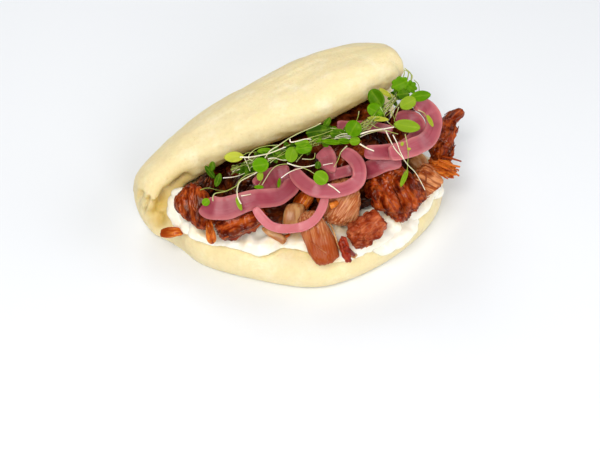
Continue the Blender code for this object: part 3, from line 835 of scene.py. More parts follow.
@dataclass
class Bun:
    """One sheet of dough folded over: the floor, the fold at the back and the lid that droops to its lip."""

    dough_r: float = 7.5 * MM
    sunk: float = 1.2 * MM  # how deep the underside is pressed flat
    fold_r: tuple[float, float] = (7.9 * MM, 21 * MM)  # at the left end and at the right
    front_reach: float = 56 * MM  # of the floor, a fifth less toward the left end
    lid_reach: float = 20 * MM
    lid_peak: float = 0.16  # where along the bun the lid reaches furthest
    lid_falls: tuple[tuple[float, float], ...] = ((1.1, 1.47), (0.87, 2.25))  # span and power, to its left and right
    lid_droop: float = 17.0  # radians that the lid turns down in each metre
    lid_slope: float = math.radians(16)
    fold_back_mm: tuple[float, float, float] = (12, 1.8, 12.3)  # of the fold's centre: evenly, skewed and bowed
    half_length: dict[str, tuple[float, float]] = field(default_factory=lambda: {
        "floor": (49 * MM, 57 * MM), "fold": (60 * MM, 48 * MM), "lid": (56 * MM, 42 * MM)})
    tucks: tuple[tuple[tuple[float, float, float], tuple[float, float, float]], ...] = (
        ((-53.5, 15.5, 16.0), (6.2, 5.2, 5.2)), ((-49.5, 16.0, 18.0), (6, 5.2, 5.2)),
        ((-51.0, 12.2, 14.8), (5, 1.7, 3.2)))  # slack dough gathered at the left end, in mm
    creases: tuple[tuple[tuple[float, float, float], ...], ...] = (
        ((-42.5, 12.1, 26.5), (-44.9, 11.9, 25.5), (-47.3, 11.5, 24.5), (-49.8, 11.2, 23.1), (-51.8, 11.2, 20.7),
         (-53.4, 12.6, 16.5), (-54.6, 13.6, 13.6)),
        ((-48.2, 14.0, 15.0), (-50.1, 13.0, 13.6), (-52.3, 11.8, 12.5), (-53.8, 10.8, 11.4)))  # under the lip, in mm
    columns: int = 150
    rows: int = 120
    voxel: float = 0.7 * MM
    soften: int = 10  # rounds of smoothing, which take the sharpness off the lip
    slacken: int = 50  # more of them at the pinched left end
    uneven_mm: float = 0.6
    dent_mm: float = 0.6
    line_mm: float = 0.22
    fold_mm: float = 1.5  # of the gathers at the left end
    crease_mm: float = 3.2  # how deep a crease is
    groove_mm: float = 1.9  # half its width
    shade_mm: float = 4.4  # half the width of the painted shade along it
    creased_from: float = -38 * MM  # the creases are all to the left of this

    def fold_radius(self, s: float) -> float:
        """The radius of the fold's middle line at s, -1 to 1 along the bun."""
        return self.fold_r[0] + (self.fold_r[1] - self.fold_r[0]) * math.sin(math.pi / 4 * (s + 1))

    def floor_length(self, s: float) -> float:
        """How far the floor reaches in front of the fold's centre."""
        return 3 * MM + self.front_reach * (1 - 0.2 * smooth(-s)) * math.sqrt(max(0.0, 1 - s * s))

    def lid_length(self, s: float) -> float:
        """How far the lid reaches in front of the fold."""
        span, power = self.lid_falls[s > self.lid_peak]
        return 2 * MM + self.lid_reach * max(0.0, 1 - (abs(s - self.lid_peak) / span) ** power)

    def sheet(self, s: float, path: float) -> Vector:
        """Gives a point of the dough's middle sheet.

        Args:
            s: Where it is along the bun, -1 at the left end to 1 at the right.
            path: Where it is round it: 0 to 1 on the floor, to 2 round the fold and to 3 out along the lid.

        Returns:
            The point.
        """
        radius = self.fold_radius(s)
        slope = self.lid_slope * smooth((s + 1.1) / 0.8)
        back, skew, bow = self.fold_back_mm
        centre_y = (back + skew * s + bow * (1 - abs(s) ** 3)) * MM
        floor_z = self.dough_r - self.sunk
        centre_z = floor_z + radius
        if path <= 1:
            y, z = centre_y - self.floor_length(s) * (1 - path), floor_z
        elif path <= 2:
            angle = -math.pi / 2 + (math.pi - slope) * (path - 1)
            y, z = centre_y + radius * math.cos(angle), centre_z + radius * math.sin(angle)
        else:
            here = slope - self.lid_droop * self.lid_length(s) * (path - 2)
            y = centre_y + radius * math.sin(slope) - (math.sin(slope) - math.sin(here)) / self.lid_droop
            z = centre_z + radius * math.cos(slope) + (math.cos(here) - math.cos(slope)) / self.lid_droop
        floor_end, fold_end, lid_end = (self.half_length[part][s > 0] for part in ("floor", "fold", "lid"))
        if path <= 1.5:
            half = floor_end + (fold_end - floor_end) * smooth(path / 1.5)
        else:
            half = fold_end + (lid_end - fold_end) * smooth(path - 1.5)
        return Vector((s * half, y, z))

    def skin(self, s: float, path: float, side: int) -> Vector:
        """Gives a point of the dough's surface, with its soft unevenness.

        Args:
            s: Where it is along the bun, as for the sheet.
            path: Where it is round it, as for the sheet.
            side: 1 for one side of the sheet, -1 for the other.

        Returns:
            The point, no lower than the ground.
        """
        step = 0.004  # to either side, for the sheet's slope
        s_in, path_in = min(max(s, -1 + step), 1 - step), min(max(path, step), 3 - step)
        along = self.sheet(s_in + step, path_in) - self.sheet(s_in - step, path_in)
        around = self.sheet(s_in, path_in + step) - self.sheet(s_in, path_in - step)
        outward = around.cross(along).normalized() * side
        full = self.dough_r * (1 - 0.12 * smooth(-s))
        to_front = self.floor_length(s) * min(path, 1) + self.fold_radius(s) * math.pi * max(path - 1, 0)
        to_lip = self.lid_length(s) * (3 - max(path, 2)) + self.fold_radius(s) * math.pi * (2 - min(path, 2))
        to_end = (1 - abs(s)) * self.half_length["floor"][1]
        half = full * rounding(to_front / full) * rounding(to_lip / full) * rounding(to_end / full)
        middle = self.sheet(s, path)
        uneven = self.uneven_mm * ripple(middle, 24 * MM) + 0.25 * ripple(middle, 9 * MM, 3.0)
        point = middle + outward * (half + uneven * MM * half / self.dough_r)
        point.z = max(point.z, 0.0)
        return point

    def relief(self, point: Vector, normal: Vector) -> Vector:
        """Gives the skin's shallow dents and lines, and the gathers and creases at the pinched left end.

        Args:
            point: A place on the skin.
            normal: The skin's normal there.

        Returns:
            How far the skin moves.
        """
        high = rising(point.z, 6, 12)
        dents = self.dent_mm * ripple((point.x / 2.2, point.y, point.z), 8 * MM, 7.0)
        lines = self.line_mm * ripple((point.x / 3, point.y, point.z), 2.6 * MM, 2.0)
        rough = 0.16 * ripple(point, 1.5 * MM, 5.0) * smooth((0.5 - normal.z) / 0.6)
        slack = rising(point.x, -36, -14) * rising(point.y, 22, -10) * rising(point.z, 8, 5)
        slack *= smooth((0.45 - normal.z) / 0.5)
        run = (point.dot(PINCH_ACROSS), point.dot(PINCH_ALONG) / 4, 0)
        folds = self.fold_mm * (ripple(run, 3.4 * MM, 4.0) - max(0.0, 1 - abs(ripple(run, 4.5 * MM, 9.0)) * 7))
        crease = self.crease_mm * self.creased(point, self.groove_mm)
        return normal * ((dents + lines + rough) * high + slack * folds - crease) * MM

    def creased(self, point: Vector, wide: float) -> float:
        """Tells how deep in a crease a point is.

        Args:
            point: The point.
            wide: The creases' half width, in mm.

        Returns:
            0 for outside to 1 for the middle of one.
        """
        if point.x >= self.creased_from:
            return 0.0
        nearest = math.inf
        for line in self.creases:
            for start, end in zip(line, line[1:]):
                a, b = Vector(start), Vector(end)
                share = min(1.0, max(0.0, (point / MM - a).dot(b - a) / (b - a).length_squared))
                nearest = min(nearest, (point / MM - a - (b - a) * share).length)
        return math.exp(-(nearest / wide) ** 2)

    def mesh(self) -> bpy.types.Mesh:
        """The dough's closed skin, with the share of painted shade at each point where it is turned under, gathered or
        in a crease.
        """
        bm = bmesh.new()
        for side in (1, -1):
            grid = bmesh.ops.create_grid(bm, x_segments=self.columns, y_segments=self.rows, size=0.5)
            for vert in grid["verts"]:  # closer together toward the ends and the lip
                s = math.sin(math.pi * vert.co.x)
                row = vert.co.y + 0.5
                path = 3 * (0.55 * row + 0.45 * (1 - math.cos(math.pi * row)) / 2)
                vert.co = self.skin(s, path, side)
        bmesh.ops.remove_doubles(bm, verts=bm.verts, dist=0.01 * MM)
        for middle, radii in self.tucks:
            tuck = bmesh.ops.create_icosphere(bm, subdivisions=4, radius=1.0)
            for vert in tuck["verts"]:
                vert.co = Vector(m + r * c for m, r, c in zip(middle, radii, vert.co)) * MM
        mesh = remeshed(as_mesh(bm, "bun"), self.voxel, self.soften)
        slackness = [rising(vert.co.x, -30, -16) * rising(vert.co.z, 5, 8) for vert in mesh.vertices]
        mesh = displaced(relaxed(mesh, slackness, self.slacken), self.relief)
        mesh.vertices.foreach_set("co", [c for v in mesh.vertices for c in (v.co.x, v.co.y, max(v.co.z, 0.0))])
        # The share of painted shade: under the lid where the dough faces down, half of it in the gathers at the left
        # end, and along the creases.
        shares = []
        for vert in mesh.vertices:
            inner = rising(vert.co.y, 34, -20) * rising(vert.co.z, 11, 10) * smooth(0.4 - vert.normal.z)
            slack = rising(vert.co.x, -42, -9) * rising(vert.co.y, 20, -8) * rising(vert.co.z, 8, 5)
            slack *= smooth((0.5 - vert.normal.z) / 0.6)
            shares.append(max(inner, 0.5 * slack, self.creased(vert.co, self.shade_mm)))
        write_floats(mesh, "turned_under", shares)
        return mesh

    def build(self) -> None:
        """Builds and dresses the dough."""
        finished("steamed_bun", self.mesh(), SteamedDough().material(), "steamed_dough", ["bun"])


# The filling


@dataclass
class Sauce:
    """The cream sauce spread over the floor, lobed at its front edge."""

    voxel: float = 0.7 * MM
    lobe_mm: float = 7.0
    lobe_high: float = 1.5
    stained_out: float = 6 * MM  # how far from the meat its juice goes
    smear_voxel: float = 0.5 * MM
    smear_soften: int = 12
    # More of it, spread past the meat at the left end, the right front and the far right: places and radii in mm.
    smears: tuple[tuple[tuple[float, float, float], float], ...] = (
        ((-46.2, 8.6, 24.0), 2.6), ((-47.4, 8.0, 21.0), 3.2), ((-48.0, 6.2, 17.8), 3.6), ((-47.2, 3.4, 16.0), 3.6),
        ((-45.4, -1.2, 16.0), 3.4),
        ((32.6, -21.0, 11.4), 3.6), ((30.6, -23.4, 11.2), 4.0), ((27.6, -25.6, 11.0), 4.4),
        ((24.0, -27.4, 11.2), 4.4), ((20.0, -29.0, 11.4), 4.2), ((16.8, -29.2, 11.8), 3.0), ((24.0, -22.5, 14.0), 4.2),
        ((48.4, -8.0, 15.0), 3.2), ((46.6, -12.4, 14.0), 3.2))

    def build(self) -> None:
        """Builds and dresses the pool of sauce and its smears."""
        mesh = displaced(refined("sauce", self.voxel, relax=8, levels=0), self.lobes)
        mesh = relaxed(mesh, [1.0] * len(mesh.vertices), rounds=5)
        meat = trees_of(name for name in packed()["nodes"] if name.startswith(("chunk", "fat")))
        near = [max((smooth(1 - (tree.find_nearest(vert.co)[3] or 1) / self.stained_out) for tree in meat),
                    default=0.0) for vert in mesh.vertices]
        write_floats(mesh, "near_meat", near)
        finished("cream_sauce", mesh, CreamySauce().material(), "creamy_sauce", ["sauce"])
        self.build_smears()

    def build_smears(self) -> None:
        """Builds and dresses the smears, each a few flattened balls run together."""
        bm = bmesh.new()
        for middle, radius in self.smears:
            for vert in bmesh.ops.create_icosphere(bm, subdivisions=3, radius=1.0)["verts"]:
                vert.co = Vector(m + radius * c * k for m, c, k in zip(middle, vert.co, (1, 1, 0.8))) * MM
        mesh = remeshed(as_mesh(bm, "smears"), self.smear_voxel, self.smear_soften)
        mesh = displaced(mesh, lambda point, normal: normal * (0.4 - abs(ripple(point, 6 * MM, 2.0))) * 1.6 * MM)
        write_floats(mesh, "near_meat", [0.15] * len(mesh.vertices))
        finished("cream_sauce_smears", mesh, CreamySauce().material(), "creamy_sauce")

    def lobes(self, point: Vector, normal: Vector) -> Vector:
        """Gives the swells and folds of the sauce, kept off the dough beneath it.

        Args:
            point: A place on the sauce.
            normal: Its normal there.

        Returns:
            How far the sauce moves.
        """
        swell = 1 - abs(ripple(point, self.lobe_mm * MM, 6.0)) * 3.2
        bulge = 0.8 + 0.7 * smooth(-1.2 * normal.y)  # more of it at the front
        high = bulge + self.lobe_high * (swell - 0.45) + 0.3 * ripple(point, 2.6 * MM, 1.0)
        return normal * high * MM * smooth((normal.z + 0.5) / 0.6)


def trees_of(names: Iterable[str]) -> list[BVHTree]:
    """Makes trees for finding what is near.

    Args:
        names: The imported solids' names.

    Returns:
        A tree for each of them.
    """
    trees = []
    for name in names:
        bm = bmesh.new()
        bm.from_mesh(packed()["nodes"][name].data)
        trees.append(BVHTree.FromBMesh(bm))
        bm.free()
    return trees


class Cut(Enum):
    """How a piece of the meat looks: its glaze, flesh and pale fibre, and how much of it is glazed."""

    MAHOGANY = BraisedMeat("mahogany", "460a00", "7e2402", "b65420", 0.42)
    RED = BraisedMeat("red", "480c00", "702004", "a04418", 0.5)
    SHADED = BraisedMeat("shaded", "220500", "481203", "6c2a0e", 0.5)
    TAN = BraisedMeat("tan", "6e2408", "a05022", "d89462", 0.18)
    ROSE = BraisedMeat("rose", "8e3810", "ac5c30", "d69c70", 0.08, 0.5, 8.0, "c07c46")
    CRUMBLED = BraisedMeat("crumbled", "701c04", "9c3e1c", "cc744a", 0.34, 1.3, 3.0, "b04c20")
    AMBER = BraisedMeat("amber", "7a2402", "b44804", "ec9038", 0.3, 0.8, 11.0, "d06614")
    GLAZED = BraisedMeat("glazed", "480a00", "842402", "bc5820", 0.42, 1.3, 5.0, "b85c1c", wet=0.28)
    SCARLET = BraisedMeat("scarlet", "560a02", "8a1a04", "b84418", 0.4, 1.2, 4.0, "a03008", wet=0.4)
    FAT = SoftFat()

    def slot(self) -> str:
        """The material slot of the record that the cut belongs to."""
        return "meat_fat" if self is Cut.FAT else "braised_meat"


@dataclass
class Chunk:
    """One torn block of the meat, with its fibres along its own X."""

    tilt: float
    lean: float
    turn: float
    cut: Cut
    strand: float = 1.1  # mm between bundles
    deep: float = 0.3  # mm, the grooves between bundles
    frayed: float = 1.3  # mm, how unevenly the fibres end
    crumple: float = 0.7  # mm, the folds and tears
    loose: int = 10  # strands that have come away
    browned: float = 0.0  # how far its lower end is browned
    lumpy: float = 0.0  # mm, the crumbs or small lobes
    voxel: float = 0.34 * MM

    def facing(self) -> Matrix:
        """The turn from the block's own axes to the bun's."""
        whole = Matrix.Rotation(math.radians(self.lean), 3, "Y") @ Matrix.Rotation(math.radians(self.tilt), 3, "X")
        return whole @ Matrix.Rotation(math.radians(self.turn), 3, "Z")

    def build(self, node: str) -> list[Stem]:
        """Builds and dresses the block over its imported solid.

        Args:
            node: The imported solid's name.

        Returns:
            The strands that lie on it.
        """
        mesh = refined(node, self.voxel, relax=9, levels=1)
        low, high = (Vector(corner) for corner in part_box(node))
        facing, centre = self.facing(), (low + high) / 2
        back = facing.transposed()
        seed = seed_of(node) * 0.37

        def shift(point: Vector, normal: Vector) -> Vector:
            """Gives grooves along the sides, folds and crumbs, and fibres torn off unevenly at the ends.

            Args:
                point: A place on the block.
                normal: Its normal there.

            Returns:
                How far the block's surface moves.
            """
            own = back @ (point - centre) / MM
            end = abs((back @ normal).x)  # 1 where the surface lies across the fibres
            loop = own + Vector((0, 1.4 * ripple(own, 8, seed), 1.4 * ripple(own, 8, seed + 3)))
            bundle = ridges((loop.x / 18, loop.y / self.strand, loop.z / self.strand), seed)
            strand = ridges((loop.x / 12, loop.y / (0.4 * self.strand), loop.z / (0.4 * self.strand)), seed + 5)
            fold = ridges((own.x / 7, own.y / 4.5, own.z / 4.5), seed + 2)
            # Each term is taken about its own mean, so the block keeps its size.
            side = self.deep * (bundle - 0.45) + 0.25 * self.deep * (strand - 0.5)
            side += (0.25 + 0.8 * min(self.crumple, 0.7)) * ripple(own, 4.5, seed + 9) + self.crumple * (fold - 0.45)
            side += self.lumpy * (ridges(own / (1.6 + 1.4 * self.lumpy), seed + 7) - 0.45)
            torn = self.frayed * (noise.noise(Vector((0.3 * own.x, own.y / 0.8, own.z / 0.8 + seed))) - 0.15)
            return normal * (side * (1 - 0.5 * end) + torn * end) * MM

        mesh = displaced(mesh, shift)
        own = [back @ (vert.co - centre) / MM for vert in mesh.vertices]
        write_vectors(mesh, "grain", (point + Vector((seed, 2 * seed, 0)) for point in own))
        reach = max(abs(point.x) for point in own)
        write_floats(mesh, "browned", (self.browned * smooth(0.55 - 1.1 * point.x / reach) for point in own))
        finished(f"meat_{node}", mesh, self.cut.value.material(), self.cut.slot(), [node])
        return self.strands(mesh, facing @ Vector((1, 0, 0)), int(seed * 100))

    def strands(self, mesh: bpy.types.Mesh, along: Vector, seed: int) -> list[Stem]:
        """Draws strands that have come away from the block, most of them along its fibres.

        Args:
            mesh: The block's mesh.
            along: The way its fibres run.
            seed: The seed of the random draws.

        Returns:
            The strands, on the block's outer side.
        """
        chance = random.Random(seed)
        tree = BVHTree.FromPolygons([vert.co for vert in mesh.vertices], [face.vertices for face in mesh.polygons])
        stems: list[Stem] = []
        outer = [vert for vert in mesh.vertices if vert.normal.dot(OUTWARD) > 0.15]
        for _ in range(self.loose if outer else 0):
            point, radius = chance.choice(outer).co.copy(), chance.uniform(0.16, 0.34)
            way = (along * chance.choice((1, -1)) + Vector(chance.uniform(-0.5, 0.5) for _ in range(3))).normalized()
            bend, line = Vector(chance.uniform(-0.2, 0.2) for _ in range(3)), []
            for k in range(chance.randint(3, 6)):
                spot, normal, _, _ = tree.find_nearest(point)
                line.append(tuple((spot + normal * (0.5 * radius + 0.12 * k) * MM) / MM))
                point = spot + (way + bend * k) * 1.1 * MM
            stems.append(Stem(tuple(line), radius))
        return stems


@dataclass
class MeatHeap:
    """The blocks that show."""

    sides: int = 8  # of a strand
    # Each block's tilt, lean and turn in degrees, its cut, then strand, deep, frayed, crumple, loose and browned.
    chunks: dict[str, Chunk] = field(default_factory=lambda: {
        "chunk_front_slab": Chunk(42, -15, 80, Cut.ROSE, 1.2, 0.1, 0.5, 0.1, 2, 0.8),
        "chunk_crumbly": Chunk(35, -15, 15, Cut.CRUMBLED, 2.2, 0.15, 0.8, 1.2, 6, lumpy=1.3),
        "shred_front": Chunk(40, -15, 80, Cut.SCARLET, 1.0, 0.2, 0.8, 0.8, 0, lumpy=0.6),
        "chunk_big": Chunk(42, -12, 95, Cut.GLAZED, 2.6, 0.2, 0.8, 2.2, 3, lumpy=0.5),
        "chunk_curled": Chunk(40, 0, -40, Cut.TAN, 1.6, 0.3, 0.8, 0.7, 6),
        "chunk_left": Chunk(42, -20, 68, Cut.MAHOGANY, 1.9, 0.25, 0.8, 0.3, 4),
        "chunk_low_left": Chunk(25, -15, -5, Cut.GLAZED, 2.0, 0.2, 0.8, 0.9, 3, lumpy=0.4),
        "chunk_left_shred": Chunk(42, -15, 75, Cut.AMBER, 0.9, 0.3, 0.8, 0.6, 2),
        "flake_left": Chunk(14, -16, -24, Cut.AMBER, 1.2, 0.1, 0.5, 0.3, 0, 0.9),
        "chunk_slab": Chunk(45, -12, 35, Cut.ROSE, 1.2, 0.12, 0.6, 0.1, 3),
        "chunk_small_upper": Chunk(35, -15, 30, Cut.AMBER, 1.2, 0.3, 0.8, 0.5, 2),
        "chunk_small_right": Chunk(35, -15, 90, Cut.AMBER, 1.1, 0.3, 0.8, 0.5, 2),
        "chunk_shreds": Chunk(30, 10, -30, Cut.AMBER, 0.9, 0.7, 1.8, 1.0, 26),
        "chunk_end": Chunk(30, 0, 50, Cut.GLAZED, 1.6, 0.4, 1.4, 1.2, 10, lumpy=0.4),
        "chunk_end_stick": Chunk(20, -3, 22, Cut.MAHOGANY, 1.3, 0.35, 1.0, 0.8, 3),
        "chunk_back_left": Chunk(35, -15, 20, Cut.SHADED, 1.4, 0.4, 1.3, 1.2),
        "chunk_back_middle": Chunk(35, -15, 10, Cut.RED, 1.4, 0.4, 1.3, 1.2),
        "chunk_back_right": Chunk(35, 0, 60, Cut.RED, 1.4, 0.4, 1.3, 1.2),
        "chunk_lid_left": Chunk(30, -20, 20, Cut.SHADED, 1.4, 0.4, 1.3, 1.2),
        "fat_strip": Chunk(35, -15, 125, Cut.FAT, 1.6, 0.12, 0.3, 0.3, 0),
        "fat_middle": Chunk(35, -15, 60, Cut.FAT, 2.4, 0.05, 0.1, 0.0, 0),
        "fat_right": Chunk(35, 0, 110, Cut.FAT, 2.0, 0.08, 0.2, 0.2, 0),
    })
    more: dict[Cut, tuple[Stem, ...]] = field(default_factory=lambda: {
        Cut.FAT: (Stem(((0.6, -22.5, 23.2), (-0.2, -28.4, 25.6), (-0.2, -31.4, 23.9), (0.1, -34.0, 21.6)), 0.3),
                  Stem(((5.2, -35.0, 17.4), (6.4, -34.0, 16.4)), 0.9)),
        Cut.SCARLET: (Stem(((1.6, -34.5, 23.2), (3.0, -35.6, 21.6), (5.0, -35.4, 18.6)), 1.0),),
        Cut.AMBER: (Stem(((-17.0, -19.2, 18.8), (-15.0, -19.6, 19.0), (-13.4, -19.2, 19.2)), 0.7),
                    Stem(((1.8, -19.6, 29.0), (3.4, -19.8, 29.6), (4.6, -19.4, 30.0)), 1.2),
                    Stem(((50.0, -6.0, 23.4), (53.5, -9.0, 22.6), (57.5, -9.6, 20.6)), 0.5),
                    Stem(((49.0, -8.0, 23.4), (53.0, -11.2, 21.8), (56.0, -12.6, 19.2)), 0.45),
                    Stem(((52.0, -3.0, 22.0), (56.0, -6.0, 22.0), (59.5, -6.6, 20.0)), 0.4)),
    })

    def build(self) -> None:
        """Builds and dresses every block, then the loose strands and scraps of each cut."""
        strands = {cut: list(self.more.get(cut, ())) for cut in Cut}
        for node, chunk in self.chunks.items():
            strands[chunk.cut] += chunk.build(node)
        for cut, stems in strands.items():
            if stems:
                name = f"meat_strands_{cut.name.lower()}"
                mesh = grown(drawing_tree(), name, stem_lines(stems),
                             {"Sides": self.sides, "Finish": cut.value.material()})
                finished(name, mesh, cut.value.material(), cut.slot())


@dataclass
class MeatBed:
    """The pulled meat that fills the bun under the blocks."""

    voxel: float = 0.75 * MM

    def build(self) -> None:
        """Builds and dresses the bed."""
        mesh = refined("meat_bed", self.voxel, relax=2)

        def shift(point: Vector, normal: Vector) -> Vector:
            """Rounded lumps with strands over them."""
            own = point / MM
            lump = ridges(own / 6.0, 3.0) - 0.35
            strand = ridges((own.x / 2, own.y / 2 + own.z / 5, own.z / 1.5), 8.0) - 0.4
            return normal * (1.6 * lump + 0.5 * strand) * MM

        mesh = displaced(mesh, shift)
        write_vectors(mesh, "grain", (Vector((v.co.x + v.co.z, v.co.y - v.co.z, v.co.z)) / MM for v in mesh.vertices))
        finished("pulled_meat_bed", mesh, Cut.SHADED.value.material(), "braised_meat", ["meat_bed"])


# The onion


@dataclass
class Strip:
    """One pickled strip: the line along its middle, in mm as seen along OUTWARD, and its width."""

    line: tuple[tuple[float, float, float], ...]
    width: float
    tone: float = 0.6  # 0 for deep pink to 1 for pale
    flare: float = 0.0  # how much wider its first end is than its last, as a share
    cup: float = 0.05


@dataclass
class Onions:
    """Sliced onion rings, cut open and laid over the meat."""

    thick: float = 1.9 * MM
    stations: int = 12  # cross-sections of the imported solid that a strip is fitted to
    fine: int = 72  # cross-sections of the strip itself
    corners: int = 32  # of a cross-section
    squareness: float = 0.3  # 1 for an oval cross-section, 0 for a box
    strips: dict[str, Strip] = field(default_factory=lambda: {
        "onion_under": Strip(((14, -10, 33), (18, -12, 34), (25, -11, 34), (31, -12, 35)), 6.0, 0.05),
        "onion_inner_wall": Strip(((4, -9, 33), (9, -9, 33), (15, -9, 33)), 4.0, 0.1),
        "onion_left_back": Strip(((-21, -7, 33), (-15, -5, 35), (-9, -7, 36)), 7.5, 0.15),
        "onion_left": Strip(((-39, -2, 27), (-37, -4, 26), (-32, -6, 26), (-26, -7, 28), (-20, -9, 30),
                             (-15, -11, 31), (-10, -10, 33), (-8, -8, 35)), 7.2, 0.2, 0.45),
        "onion_ring_thin": Strip(((-23, -10, 27), (-22, -14, 26), (-20, -18, 25), (-16, -21, 25), (-10, -23, 26),
                                  (-5, -22, 27), (-1, -19, 29), (1, -16, 31)), 3.2, 1.0),
        "onion_ring_middle": Strip(((-7, -5, 36), (-6, -9, 35), (-3, -14, 34), (2, -16, 33), (8, -17, 33),
                                    (13, -16, 34), (15, -13, 36), (15, -8, 37), (12, -4, 38)), 5.2),
        "onion_short": Strip(((4, -4, 42), (5, -7, 41), (4, -10, 40), (3, -11, 39)), 6.5, 0.5),
        "onion_right_inner": Strip(((35, 2, 42), (40, 1, 42), (42, -2, 41), (40, -6, 40), (36, -9, 39),
                                    (30, -10, 38), (24, -9, 38), (19, -7, 38)), 5.6, 0.15),
        "onion_right_outer": Strip(((44, 7, 41), (48, 7, 40), (50, 2, 39), (48, -3, 38), (44, -7, 37),
                                    (39, -9, 37), (33, -10, 37), (27, -10, 37)), 6.4, 0.65),
        "onion_lid": Strip(((14, 7, 41), (19, 5, 41), (25, 2, 42), (32, -3, 42)), 3.6, 0.2),
    })

    def settled(self, node: str, strip: Strip) -> list[Vector]:
        """Fits the strip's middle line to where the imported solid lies.

        Args:
            node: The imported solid's name.
            strip: The strip.

        Returns:
            The line's points, raised or lowered to the middles of the solid's own cross-sections.
        """
        rough = spline([Vector(point) * MM for point in strip.line], self.stations)
        flat = [point - OUTWARD * point.dot(OUTWARD) for point in rough]
        groups: list[list[Vector]] = [[] for _ in rough]
        seen = set()
        for vert in packed()["nodes"][node].data.vertices:
            key = tuple(round(c * 1e6) for c in vert.co)
            if key in seen:
                continue
            seen.add(key)
            seat = vert.co - OUTWARD * vert.co.dot(OUTWARD)
            groups[min(range(len(flat)), key=lambda k: (flat[k] - seat).length)].append(vert.co.copy())
        spots = [(spot, group) for spot, group in zip(rough, groups) if group]
        lifts = [sum((point - spot).dot(OUTWARD) for point in group) / len(group) for spot, group in spots]
        eased = [(before + 2 * here + after) / 4
                 for before, here, after in zip(lifts[:1] + lifts, lifts, lifts[1:] + lifts[-1:])]
        return [spot + OUTWARD * lift for (spot, _), lift in zip(spots, eased)]

    def mesh(self, node: str, strip: Strip) -> bpy.types.Mesh:
        """Makes a flat strip with crisp edges and blunt ends, cupped a little across.

        Args:
            node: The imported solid's name.
            strip: The strip.

        Returns:
            Its mesh, with its grain, its paler rim and its tone.
        """
        path = spline(self.settled(node, strip), self.fine)
        half_width, half_thick = strip.width * MM / 2, self.thick / 2
        section = self.section()
        bm = bmesh.new()
        rings, grain, rims, along = [], [], [], 0.0
        seed = seed_of(node) * 0.7
        for k, point in enumerate(path):
            ahead = (path[min(k + 1, self.fine - 1)] - path[max(k - 1, 0)]).normalized()
            across = ahead.cross(OUTWARD).normalized()
            up = across.cross(ahead).normalized()
            if k:
                along += (point - path[k - 1]).length / MM
            share = k / (self.fine - 1)
            taper = 0.45 + 0.55 * rounding(min(share, 1 - share) * (self.stations - 1) / 1.6)
            waver = 1 + strip.flare * (0.5 - share) + 0.12 * noise.noise(Vector((along / 6, seed, 0)))
            ring = []
            for a, b in section:
                sag = strip.cup * (a * a - 0.4)
                wave = 0.22 * noise.noise(Vector((along / 3, a * 0.9 + seed, b)))
                offset = across * a * half_width * taper * waver
                offset += up * (b * half_thick * (0.55 + 0.45 * taper) - (sag * half_width + wave * MM))
                ring.append(bm.verts.new(point + offset))
                grain.append((along + seed * 10, a * half_width / MM, b + seed))
                rims.append(abs(a) if b > -0.5 else 0.9)
            rings.append(ring)
        for before, after in zip(rings, rings[1:]):
            for n, vert in enumerate(before):
                beside = (n + 1) % len(before)
                bm.faces.new((vert, before[beside], after[beside], after[n]))
        bm.faces.new(rings[0])
        bm.faces.new(list(reversed(rings[-1])))
        mesh = as_mesh(bm, node)
        write_vectors(mesh, "grain", grain)
        write_floats(mesh, "rim", [max(rim, 0.75 * (strip.tone > 0.9)) for rim in rims])
        write_floats(mesh, "tone", [strip.tone] * len(rims))
        return mesh

    def section(self) -> list[tuple[float, float]]:
        """The strip's cross-section, as shares of half its width and half its thickness."""
        ring = []
        for n in range(self.corners):
            angle = math.tau * (n + 0.5) / self.corners
            c, s = math.cos(angle), math.sin(angle)
            ring.append((math.copysign(abs(c) ** self.squareness, c), math.copysign(abs(s) ** self.squareness, s)))
        return ring

    def build(self) -> None:
        """Builds and dresses every strip."""
        for node, strip in self.strips.items():
            mesh = self.mesh(node, strip)
            finished("pickled_" + node, mesh, PickledOnion().material(), "pickled_onion", [node])


# The sprouts


class Blade(Enum):
    """A leaf's outline: how many lobes it has and how deep, its tip, how much it is cupped and how much folded."""

    ROUND = (1, 0.07, 0.0, 0.4, 0.0)
    OVAL = (0, 0.0, 0.12, 0.3, 0.12)
    LOBED = (7, 0.2, 0.0, 0.3, 0.0)
    FOLDED = (0, 0.0, 0.1, 0.1, 0.75)

    def edge(self, angle: float) -> float:
        """How far the outline is from the middle at an angle, as a share of the half length or half width."""
        lobes, deep, tip, _, _ = self.value
        return 1 - deep * (0.5 + 0.5 * math.cos(lobes * angle)) ** 2 * (lobes > 0) + tip * math.cos(angle) ** 8

    def height(self, x: float, y: float) -> float:
        """How high the leaf's middle surface is, as a share of its half width."""
        _, _, _, cup, fold = self.value
        return cup * (x * x + y * y) + fold * abs(y) - 0.12 * x


@dataclass(frozen=True)
class Leaf:
    """One leaf: where its middle is, its half length and half width in mm, its turns in degrees and its tone."""

    at: tuple[float, float, float]
    half: tuple[float, float]
    turn: float
    tilt: float
    lean: float
    tone: float
    blade: Blade


